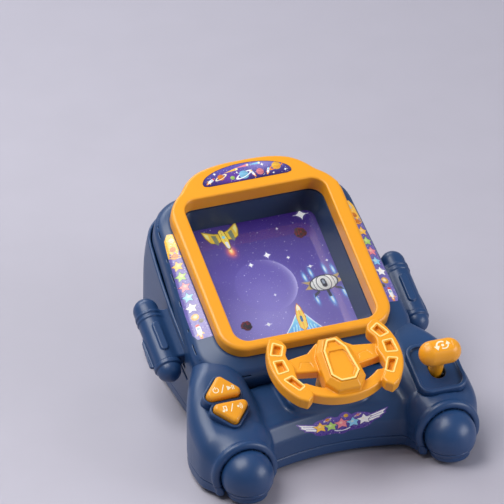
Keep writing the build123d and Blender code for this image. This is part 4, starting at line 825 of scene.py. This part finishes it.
for k, nm, bd, f, dy in ((0, "start", "start_key", sign_power, -2.2), (1, "mode", "mode_key", sign_sound, 2.2)):
    px, py = BTN[k][0]
    def pl(u, v, h, px=px, py=py, dy=dy):
        U, V = u + px, v + py + dy
        return BUTTONS.world(np.stack([U, V, 4.0 - 0.0022 * ((U - px) ** 2 + (V - py) ** 2) + h], 1))
    sheet(nm + "_key_sign", f, (-8.5, -3.2, 8.5, 3.2), 0.16, pl, WHITE_INK, bd, h=0.05, node=nm + "_button", thick=0.15)

def sign_gear(u, v):       # two curved arrows, up and down
    d = arc(u, v, -0.6, -0.4, 3.3, 1.1, 60, 190)
    d = np.minimum(d, poly(u, v, [(-5.9, -0.2), (-1.9, -0.2), (-3.9, -3.6)]))
    d = np.minimum(d, arc(u, v, 0.8, 0.2, 3.0, 0.8, -120, 10))
    d = np.minimum(d, poly(u, v, [(2.2, 0.0), (5.4, 0.0), (3.8, 2.8)]))
    return np.minimum(d, disc(u, v, 0.1, -0.1, 1.0))
sheet("knob_sign", sign_gear, (-6.2, -4.4, 6.2, 4.4), 0.2, on_plane(LEVER, 0.5, 0, 21.9), WHITE_INK, "lever", h=0.06, node="lever_knob", thick=0.15)


# ------------------------------------------------------------------ printed stickers
DEEP, PURPLE, LILAC = lin(38, 18, 92), lin(88, 66, 160), lin(150, 140, 205)
GOLD, ORANGE, CREAM, PINK = lin(255, 196, 70), lin(240, 140, 45), lin(255, 240, 200), lin(240, 140, 150)
GREEN, SKY, WHITE, RED, GREY = lin(175, 215, 110), lin(140, 205, 240), lin(250, 250, 250), lin(215, 60, 55), lin(120, 112, 108)


def stars(C, u, v, k, cell, r, a=1.0):
    """Scattered small stars, one chance per cell."""
    i, j = np.floor(u / cell), np.floor(v / cell)
    for di in (-1, 0, 1):
        for dj in (-1, 0, 1):
            I, J = i + di, j + dj
            px, py = (I + hash2(I, J, k)) * cell, (J + hash2(I, J, k + 5)) * cell
            on = hash2(I, J, k + 9) > 0.45; rr = r * (0.45 + 0.75 * hash2(I, J, k + 13))
            d = np.hypot(u - px, v - py)
            C = mixc(C, WHITE, np.where(on, a * np.clip(1.15 - d / rr, 0, 1), 0))
    return C

def planet(C, u, v, x, y, r, col, ring=None):
    d = disc(u, v, x, y, r)
    shade = 0.62 + 0.38 * np.clip((-(u - x) + (v - y)) / (1.4 * r) * 0.5 + 0.5, 0, 1)
    band = 0.9 + 0.1 * np.sin((v - y) / r * 7 + 0.6 * np.sin((u - x) / r * 3))
    c = np.asarray(col)[None] * (shade * band)[..., None]
    C = C * (1 - cover(d)[..., None]) + c * cover(d)[..., None]
    if ring is not None:
        p, t = turn(u, v, x, y, 22)
        e = np.abs(np.hypot(p / 1.75, t / 0.5) - r) * 0.55 - 0.09 * r
        front = (t < 0) | (d > 0)
        C = mixc(C, ring, np.where(front, cover(e), 0))
    return C

def rocket(C, u, v, x, y, deg, s, hull=WHITE, tip=RED, fin=GOLD):
    p, t = turn(u, v, x, y, deg, s)
    flame = np.hypot(p, (t + 4.4) * 0.5) - 0.9
    C = mixc(C, ORANGE, cover(flame, 0.5)); C = mixc(C, CREAM, cover(np.hypot(p, (t + 4.0) * 0.6) - 0.5, 0.4))
    fins = np.maximum(poly(np.abs(p), t, [(0.6, -1.0), (2.3, -3.6), (1.5, -3.4), (0.7, -3.1)]), -9)
    C = mixc(C, fin, cover(fins))
    hullw = 1.25 * np.sqrt(np.clip(1 - ((t + 0.2) / 4.2) ** 2, 0, 1))
    hd = np.maximum(np.abs(p) - hullw, np.abs(t + 0.1) - 3.3)
    sh = 1 - 0.28 * np.clip(p / 1.2, 0, 1)
    a = cover(hd)[..., None]; C = C * (1 - a) + np.asarray(hull)[None] * sh[..., None] * a
    C = mixc(C, tip, cover(np.maximum(hd, 1.9 - t)))
    C = mixc(C, SKY, cover(np.hypot(p, t - 0.5) - 0.55)); C = mixc(C, lin(60, 80, 120), cover(np.abs(np.hypot(p, t - 0.5) - 0.62) - 0.1))
    return C

def rock(C, u, v, x, y, r, k, c0=None, c1=None):
    c0 = lin(58, 52, 60) if c0 is None else c0; c1 = lin(170, 45, 55) if c1 is None else c1
    ang = np.arctan2(v - y, u - x)
    rr = r * (0.95 + 0.05 * np.sin(ang * 3 + k) + 0.04 * np.sin(ang * 5 + 2 * k) + 0.03 * np.sin(ang * 8 + k))
    d = np.hypot(u - x, v - y) - rr
    n = fbm((u - x) / r * 2.2 + 9, (v - y) / r * 2.2 + k, k)
    crack = np.clip(1 - np.abs(n - 0.5) * 14, 0, 1)
    shade = 0.6 + 0.5 * np.clip((-(u - x) + (v - y)) / (2 * r) + 0.4, 0, 1)
    c = (c0[None] * (1 - crack[..., None]) + c1[None] * crack[..., None]) * (shade * (0.7 + 0.6 * n))[..., None]
    a = cover(d, 0.3)[..., None]
    return C * (1 - a) + c * a


MARQ = catmull([(-30.0, 70.6), (-30.3, 73.2), (-27.0, 77.2), (-19.0, 80.9), (-9.5, 82.9), (0, 83.5), (9.5, 82.9), (19.0, 80.9), (27.0, 77.2), (30.3, 73.2), (30.0, 70.6)], 4)
MARQ_I = inset(np.concatenate([MARQ, [(27.0, 69.7), (-27.0, 69.7)]]), 0.5)

def marquee(u, v): return poly(u, v, MARQ_I) - 0.5

def paint_marquee(u, v):
    t = np.clip((v - 69) / 15, 0, 1)
    C = DEEP[None] * (1 - t[..., None]) + lin(98, 92, 180)[None] * t[..., None]
    C = mixc(C, LILAC, 0.7 * np.exp(-(((u - 12) / 11) ** 2 + ((v - 80) / 4) ** 2)))
    C = mixc(C, lin(120, 60, 170), 0.6 * np.exp(-(((u + 10) / 9) ** 2 + ((v - 74) / 5) ** 2)))
    C = stars(C, u, v, 3, 2.1, 0.26)
    # comet tails in party colours, then planets, rockets and a ringed giant
    for x, y, dx, dy, col in ((-14, 78.0, 9, 1.6, GOLD), (-6, 80.3, 9, 0.9, PINK), (3, 81.0, 8, 0.2, SKY)):
        e = seg(u, v, x, y, x + dx, y + dy)
        w = 0.9 * np.clip(((u - x) / dx), 0.1, 1)
        C = mixc(C, col, cover(e - w)); C = mixc(C, CREAM, cover(disc(u, v, x + dx, y + dy, 0.75)))
    C = planet(C, u, v, -17.0, 75.2, 2.3, ORANGE, CREAM)
    C = planet(C, u, v, 21.5, 76.6, 3.0, GOLD, ORANGE)
    C = planet(C, u, v, -1.5, 74.2, 3.2, SKY, WHITE)
    C = planet(C, u, v, 9.6, 74.4, 2.5, PINK, None)
    C = planet(C, u, v, -9.6, 73.3, 1.5, GREEN, None)
    C = rocket(C, u, v, -24.0, 73.9, -60, 0.75)
    C = rocket(C, u, v, 4.6, 74.6, 18, 0.62, WHITE, GOLD, RED)
    C = rocket(C, u, v, 15.3, 74.5, -25, 0.62, WHITE, SKY, ORANGE)
    for x, y, r in ((-20.5, 78.6, 1.5), (26.4, 72.6, 1.3), (12.6, 79.6, 1.6), (-5.6, 76.9, 1.2), (18.0, 71.6, 1.0)):
        C = mixc(C, WHITE, cover(star4(u, v, x, y, r), 0.25))
    return mixc(C, lin(30, 16, 74), cover(np.abs(marquee(u, v)) - 0.35))

sheet("marquee_plaque", marquee, (-30.6, 69.4, 30.6, 83.8), 0.22, on_plane(SCREEN), STICKER, "console", paint_marquee, h=0.13, node="marquee_sticker")


SIDE_P = [(59.0, -37), (68.4, -35.6), (70.2, -31.0), (69.8, -15), (66.2, 34), (65.2, 42.5), (62.6, 46.2), (59.0, 45)]
SIDE_I = inset(SIDE_P, 0.4)

def side_strip(u, v): return poly(u, v, SIDE_I) - 0.4

def paint_side(u, v):
    t = np.clip((v + 40) / 86, 0, 1)
    C = lin(110, 98, 180)[None] * (1 - t[..., None]) + lin(78, 58, 150)[None] * t[..., None]
    C = mixc(C, LILAC, 0.6 * fbm(u / 4, v / 5, 4))
    C = mixc(C, GOLD, np.clip((v - 30 + 1.5 * np.sin(u * 2.2)) / 1.2, 0, 1))
    C = stars(C, u, v, 8, 1.9, 0.24)
    C = planet(C, u, v, 61.4, 40.8, 1.7, CREAM, None)
    C = planet(C, u, v, 62.4, 34.2, 1.9, ORANGE, None)
    C = planet(C, u, v, 62.9, 28.6, 2.3, ORANGE, GOLD)
    for y, col in ((21.0, GOLD), (12.8, GREEN), (4.6, PINK), (-3.6, SKY), (-11.8, WHITE)):
        x = 63.4 + (21.0 - y) * 0.045
        C = mixc(C, lin(60, 40, 120), cover(star5(u, v, x, y, 4.2))); C = mixc(C, col, cover(star5(u, v, x, y, 3.6)))
        C = mixc(C, CREAM, 0.45 * cover(disc(u, v, x - 0.5, y + 0.6, 1.0), 1.2))
    C = planet(C, u, v, 65.0, -19.2, 2.5, GOLD, None); C = mixc(C, CREAM, cover(disc(u, v, 64.7, -18.9, 1.1), 1.2))
    C = planet(C, u, v, 62.2, -23.2, 1.5, GREY, None)
    C = rocket(C, u, v, 65.6, -28.6, 0, 1.2)
    return C

def star5(u, v, x, y, r):
    a = np.arctan2(u - x, v - y); p = np.hypot(u - x, v - y)
    a = (a + math.pi / 5) % (2 * math.pi / 5) - math.pi / 5
    q, t = p * np.cos(a), np.abs(p * np.sin(a))
    # edge from the tip (r, 0) to the notch (0.5 r at 36 degrees)
    nx, ny = 0.5 * r * math.cos(math.pi / 5), 0.5 * r * math.sin(math.pi / 5)
    ex, ey = nx - r, ny
    L = math.hypot(ex, ey)
    return ((q - r) * -ey + t * ex) / L * -1 - 0.12

for side, s in (("left", -1), ("right", 1)):
    def pl(u, v, h, s=s):
        # the strip lies on the housing's own surface
        P = np.stack([s * u, v, np.full_like(u, -9.0)], 1)
        for _ in range(9):
            W = SCREEN.world(P); d = housing(W[:, 0], W[:, 1], W[:, 2]); P[:, 2] -= np.clip(d, -4, 4)
        P[:, 2] += h
        return SCREEN.world(P)
    ob = sheet("side_strip_" + side, side_strip, (58.5, -41.5, 71.2, 47), 0.25, pl, STICKER, "console", paint_side, h=0.14, node="side_sticker_" + side)
    if s < 0:
        me = ob.data; me.flip_normals()


# front badge: winged star over a row of planets, laid over the apron's ridge
def badge_shape(u, v):
    core = np.hypot(np.maximum(np.abs(u) - 13.5, 0), (v + 0.4) * 1.02) - 7.6
    bumps = np.minimum(np.minimum(disc(u, v, -8, 4.0, 4.6), disc(u, v, 2.5, 5.2, 4.6)), np.minimum(disc(u, v, 11, 3.6, 4.4), disc(u, v, 0, -5, 4.6)))
    a = np.abs(u)
    wing = poly(a, v, [(15, 2.4), (30.6, 6.6), (28.2, 3.4), (29.0, 2.4), (25.8, 0.3), (25.6, -1.2), (15, -4.6)]) - 0.5
    return smin(smin(core, bumps, 1.2), wing, 0.8)

def paint_badge(u, v):
    d = badge_shape(u, v)
    t = np.clip((v + 8) / 17, 0, 1)
    C = lin(70, 44, 140)[None] * (1 - t[..., None]) + lin(104, 82, 176)[None] * t[..., None]
    C = stars(C, u, v, 21, 2.0, 0.26)
    a = np.abs(u)
    w = poly(a, v, [(15.5, 1.6), (29.6, 5.9), (27.2, 3.2), (28.2, 2.4), (24.8, 0.4), (24.8, -0.7), (15.5, -3.6)])
    C = mixc(C, WHITE, cover(w)); C = mixc(C, lin(120, 105, 190), cover(np.minimum(seg(a, v, 16, 0.4, 26.4, 3.2), seg(a, v, 16, -1.2, 24.6, 0.6)) - 0.22))
    for x, y, col, r in ((-14.6, 0.0, GOLD, 4.9), (-7.3, -0.8, GREEN, 4.4), (0, 0.2, PINK, 5.0), (7.5, -0.6, SKY, 4.5), (14.8, 0.1, WHITE, 4.7)):
        C = mixc(C, lin(58, 30, 120), cover(star5(u, v, x, y, r + 0.8))); C = mixc(C, col, cover(star5(u, v, x, y, r)))
        C = mixc(C, CREAM, 0.5 * cover(disc(u, v, x - 0.6, y + 0.8, 0.9), 1.0))
    C = planet(C, u, v, -9.2, 5.8, 1.5, ORANGE, CREAM); C = planet(C, u, v, 3.4, 6.6, 1.6, GOLD, None); C = planet(C, u, v, 11.2, 5.2, 1.2, PINK, CREAM)
    C = mixc(C, WHITE, cover(arc(u, v, 0, 4.2, 10.6, 0.7, -118, -62)))
    return mixc(C, lin(86, 60, 150), cover(np.abs(d) - 0.3))

def on_apron(u, v, h):
    """u across, v up along the apron's rounded face, starting on its straight lower part."""
    z = 27.0 + v * 0.86; yd = np.full_like(z, 20.0)
    # march in from the front to the body's surface along the badge's own normal
    n = np.array([-0.80, 0.60])
    v = v - 5.5; u = u + 5.0
    s = np.full_like(z, -14.0); base_y = Y0 + 28.0 + np.maximum(v - 2, 0) * 0.35; base_z = 26.5 + v * 0.82
    for _ in range(40):
        d = front(u, base_y + n[0] * -s, base_z + n[1] * -s); s = s + d * 0.9
    s = s - h
    return np.stack([u, base_y + n[0] * -s, base_z + n[1] * -s], 1)

sheet("front_badge", badge_shape, (-31.5, -10.5, 31.5, 10.5), 0.25, on_apron, STICKER, "console", paint_badge, h=0.14, node="front_sticker")


# ------------------------------------------------------------------ lit picture under the window
def paint_picture(u, v):
    t = np.clip((v + 54) / 108, 0, 1)
    lo, mid, hi = lin(124, 115, 182), lin(94, 80, 162), lin(44, 14, 98)
    k = np.clip(t / 0.62, 0, 1)[..., None]; k2 = np.clip((t - 0.62) / 0.38, 0, 1)[..., None]
    C = lo[None] * (1 - k) + mid[None] * k; C = C * (1 - k2) + hi[None] * k2
    C = mixc(C, lin(70, 50, 140), 0.55 * np.clip(fbm(u / 26 + 3, v / 30, 6) * 1.6 - 0.5, 0, 1))
    C = mixc(C, lin(165, 158, 214), 0.45 * np.exp(-(((u + 6) / 26) ** 2 + ((v + 22) / 26) ** 2)))
    # large faint globe with a bright limb
    d = disc(u, v, -4.0, 2.0, 20.5)
    C = mixc(C, lin(120, 108, 186), 0.35 * np.clip(-d / 14, 0, 1) * 0 + 0.25 * cover(d, 0.8))
    limb = np.exp(-np.clip(-d, 0, 99) / 2.2) * (d < 0) * np.clip(((u + 4) * 0.95 + (v - 2) * 0.1) / 20, 0, 1) ** 1.5
    C = mixc(C, lin(205, 200, 236), 0.75 * limb)
    d2 = disc(u, v, -33, 47, 22); C = mixc(C, lin(88, 78, 150), 0.35 * cover(d2, 1.0))
    C = stars(C, u, v, 40, 7.0, 0.30, 0.95); C = stars(C, u, v, 57, 4.2, 0.18, 0.8)
    for x, y, r in ((36.5, 51.0, 5.4), (4.3, 24.8, 3.4), (-8.6, 19.6, 2.6), (17.3, 20.0, 1.8), (17.5, 43.6, 1.4), (41.4, 12.4, 1.5), (29.1, 10.2, 2.0), (-0.8, -6.4, 1.4), (-12.6, -27.6, 2.4)):
        C = mixc(C, lin(214, 210, 245), 0.65 * np.exp(-(((u - x) ** 2 + (v - y) ** 2) / (0.35 * r) ** 2)))
        C = mixc(C, WHITE, cover(star4(u, v, x, y, r), 0.3))
    C = rock(C, u, v, 31.5, 37.2, 4.4, 2.0); C = rock(C, u, v, -27.0, -25.5, 3.9, 5.0)
    # gold glider heading down the screen
    p, q = turn(u, v, -19.0, 44.5, 7, 1.0); a = np.abs(p)
    C = mixc(C, lin(255, 120, 50), 0.95 * np.exp(-((p / 2.6) ** 2 + ((q + 12.2) / 3.4) ** 2)))
    C = mixc(C, lin(255, 235, 160), 1.0 * np.exp(-((p / 1.1) ** 2 + ((q + 11.2) / 2.0) ** 2)))
    wing = poly(a, q, [(0, 3.2), (5.2, 4.6), (12.4, 8.6), (11.8, 3.2), (9.8, -1.6), (6.0, -3.4), (2.4, -2.4), (0, -3)])
    C = mixc(C, lin(105, 84, 30), cover(wing - 0.35)); C = mixc(C, lin(222, 190, 62), cover(wing + 0.15))
    C = mixc(C, lin(120, 132, 110), cover(poly(a, q, [(4.4, 3.0), (7.4, 4.2), (7.2, -3.0), (5.6, -5.0), (4.4, -2.0)])))
    C = mixc(C, lin(238, 222, 140), cover(poly(a, q, [(8.8, 5.2), (11.6, 7.4), (11.0, 3.6), (9.4, 0.4)])))
    hull = poly(a, q, [(0, 6.4), (1.7, 5.0), (2.3, -2.0), (1.4, -8.0), (0, -10.0)])
    C = mixc(C, lin(90, 70, 30), cover(hull - 0.3)); C = mixc(C, lin(240, 214, 96), cover(hull + 0.1))
    C = mixc(C, lin(225, 232, 236), cover(poly(a, q, [(0, -3.4), (1.0, -4.0), (0.9, -8.4), (0, -9.2)])))
    C = mixc(C, lin(120, 200, 220), cover(disc(u * 0 + p, q, 0, 0.2, 1.15)))
    # pale saucer with blue burners
    p, q = turn(u, v, 33.6, -4.2, 6, 1.0); a = np.abs(p)
    for x, y, r in ((5.0, 10.0, 1.1), (10.2, 7.8, 1.1), (9.8, -11.0, 1.1), (0, -13.6, 1.35)):
        C = mixc(C, lin(90, 200, 250), 0.95 * np.exp(-(((a - x) / r) ** 2 + ((q - y) / (3.0 * r)) ** 2)))
        C = mixc(C, WHITE, 0.9 * np.exp(-(((a - x) / (0.5 * r)) ** 2 + ((q - y) / (2.0 * r)) ** 2)))
    leg = poly(a, q, [(5.0, -4.0), (9.6, -6.4), (10.6, -9.4), (8.8, -8.0), (5.6, -6.4)])
    C = mixc(C, lin(70, 72, 84), cover(leg)); C = mixc(C, lin(70, 72, 84), cover(np.maximum(a - 1.0, np.abs(q + 8) - 3.4)))
    spike = poly(a, q, [(7.0, 3.4), (14.2, 4.6), (10.0, 1.2), (14.0, -1.6), (8.0, -3.0)])
    C = mixc(C, lin(190, 165, 110), cover(spike))
    body = np.hypot(p / 9.6, q / 5.9) - 1; body = body * 6.2
    C = mixc(C, lin(60, 62, 72), cover(body - 0.3))
    sh = 0.72 + 0.28 * np.clip(0.5 + q / 8 - p / 30, 0, 1)
    ab = cover(body + 0.35)[..., None]; C = C * (1 - ab) + (lin(228, 228, 224)[None] * sh[..., None]) * ab
    C = mixc(C, lin(92, 94, 104), cover(np.abs(np.hypot((a - 0.5) / 1.0, q * 0.75) - 4.3) - 0.28) * cover(body + 0.3))
    C = mixc(C, lin(92, 94, 104), cover(np.abs(np.hypot(a, q * 0.7) - 7.0) - 0.22) * cover(body + 0.3))
    C = mixc(C, lin(56, 58, 68), cover(rrect(p, q, 3.4, 6.8, 1.5))); C = mixc(C, lin(150, 160, 175), cover(rrect(p, q - 0.8, 1.6, 3.4, 0.8)))
    # player's blue craft rising from the lower edge
    p, q = turn(u, v, 9.6, -33.5, -3, 1.0); a = np.abs(p)
    wing = poly(a, q, [(0, 12), (3.4, 8), (7.6, 1.6), (13.6, -6.0), (13.0, -9.4), (7.0, -8.4), (0, -10.4)])
    C = mixc(C, lin(232, 236, 244), cover(wing - 0.45)); 
    g = np.clip((q + 9) / 16, 0, 1)[..., None]
    aw = cover(wing + 0.2)[..., None]; C = C * (1 - aw) + (lin(62, 128, 206)[None] * (1 - g) + lin(150, 220, 240)[None] * g) * aw
    for x in (2.6, 4.6, 6.8):
        C = mixc(C, lin(190, 232, 248), cover(seg(a, q, x, 3.8 - x * 0.6, x + 1.4, -7.2) - 0.32) * cover(wing + 0.4))
    C = mixc(C, lin(240, 150, 90), cover(poly(a, q, [(9.0, -4.0), (13.2, -6.6), (12.6, -9.2), (9.6, -8.0)])))
    hull = poly(a, q, [(0, 17.5), (1.5, 14.4), (2.9, 7.0), (2.5, -1), (0, -4)])
    C = mixc(C, lin(196, 120, 50), cover(hull - 0.3)); C = mixc(C, lin(246, 206, 98), cover(hull + 0.15))
    C = mixc(C, lin(252, 244, 214), cover(poly(a, q, [(0, 17.0), (1.0, 14.6), (1.3, 11.6), (0, 12.4)])))
    C = mixc(C, lin(70, 120, 160), cover(rrect(p, q - 5.4, 1.7, 5.0, 0.8)))
    return C

sheet("lit_picture", lambda u, v: rrect(u, v - 5.75, 92, 108, 1.0), (-46, -48.25, 46, 59.75), 0.3, on_plane(SCREEN, 0, 0, -32.2), PICTURE, "console",
      lambda u, v: paint_picture(u, v - 5.75), h=0.08, thick=0.1)


# ------------------------------------------------------------------ floor, light, camera
def stage_floor():
    n = 40; S = 3.0
    g = np.linspace(-S, S, n)
    X, Y = np.meshgrid(g, g, indexing="ij")
    V = np.stack([X.ravel(), Y.ravel(), np.full(X.size, -0.00002)], 1) * 1000
    i = np.arange(n - 1); I, J = np.meshgrid(i, i, indexing="ij"); a = (I * n + J).ravel()
    F = np.stack([a, a + n, a + n + 1, a + 1], 1)
    me = bpy.data.meshes.new("table"); me.from_pydata((V / 1000).tolist(), [], F.tolist())
    ob = bpy.data.objects.new("table", me); bpy.context.scene.collection.objects.link(ob)
    m = material("table_top", (0.43, 0.415, 0.485), 0.55, bump=0.02, big=0.015); me.materials.append(m)

stage_floor()

sc = bpy.context.scene
sc.view_settings.view_transform = "Standard"; sc.view_settings.look = "None"
w = bpy.data.worlds.new("studio"); sc.world = w; w.use_nodes = True
bg = w.node_tree.nodes["Background"]; bg.inputs["Color"].default_value = (0.88, 0.90, 1.0, 1); bg.inputs["Strength"].default_value = 0.26


def area(name, loc, target, size, power, col=(1, 1, 1)):
    L = bpy.data.lights.new(name, "AREA"); L.shape = "RECTANGLE"; L.size, L.size_y = size; L.energy = power; L.color = col
    ob = bpy.data.objects.new(name, L); sc.collection.objects.link(ob); ob.location = loc
    ob.rotation_euler = (Vector(target) - Vector(loc)).to_track_quat("-Z", "Y").to_euler()
    return ob

area("key", (-0.55, 0.10, 1.2), (0, 0, 0.04), (0.9, 0.9), 15, (1, 0.985, 0.96))
area("fill", (0.95, -0.75, 0.55), (0, 0, 0.05), (0.8, 0.6), 8.5, (0.97, 0.97, 1))
area("back", (-0.2, 1.0, 0.8), (0, 0, 0.08), (1.0, 0.4), 6, (0.95, 0.97, 1))

AZ, EL = 20.5, 31.0
f = Vector((sn(AZ) * cs(EL), cs(AZ) * cs(EL), -sn(EL)))
aim = Vector((0.00428, 0.0931, 0.060))
D = 4.5
cam = bpy.data.cameras.new("camera"); cam.lens = 494.0; cam.sensor_width = 36.0; cam.clip_end = 50
co = bpy.data.objects.new("camera", cam); sc.collection.objects.link(co)
co.location = aim - D * f; co.rotation_euler = f.to_track_quat("-Z", "Y").to_euler()
sc.camera = co
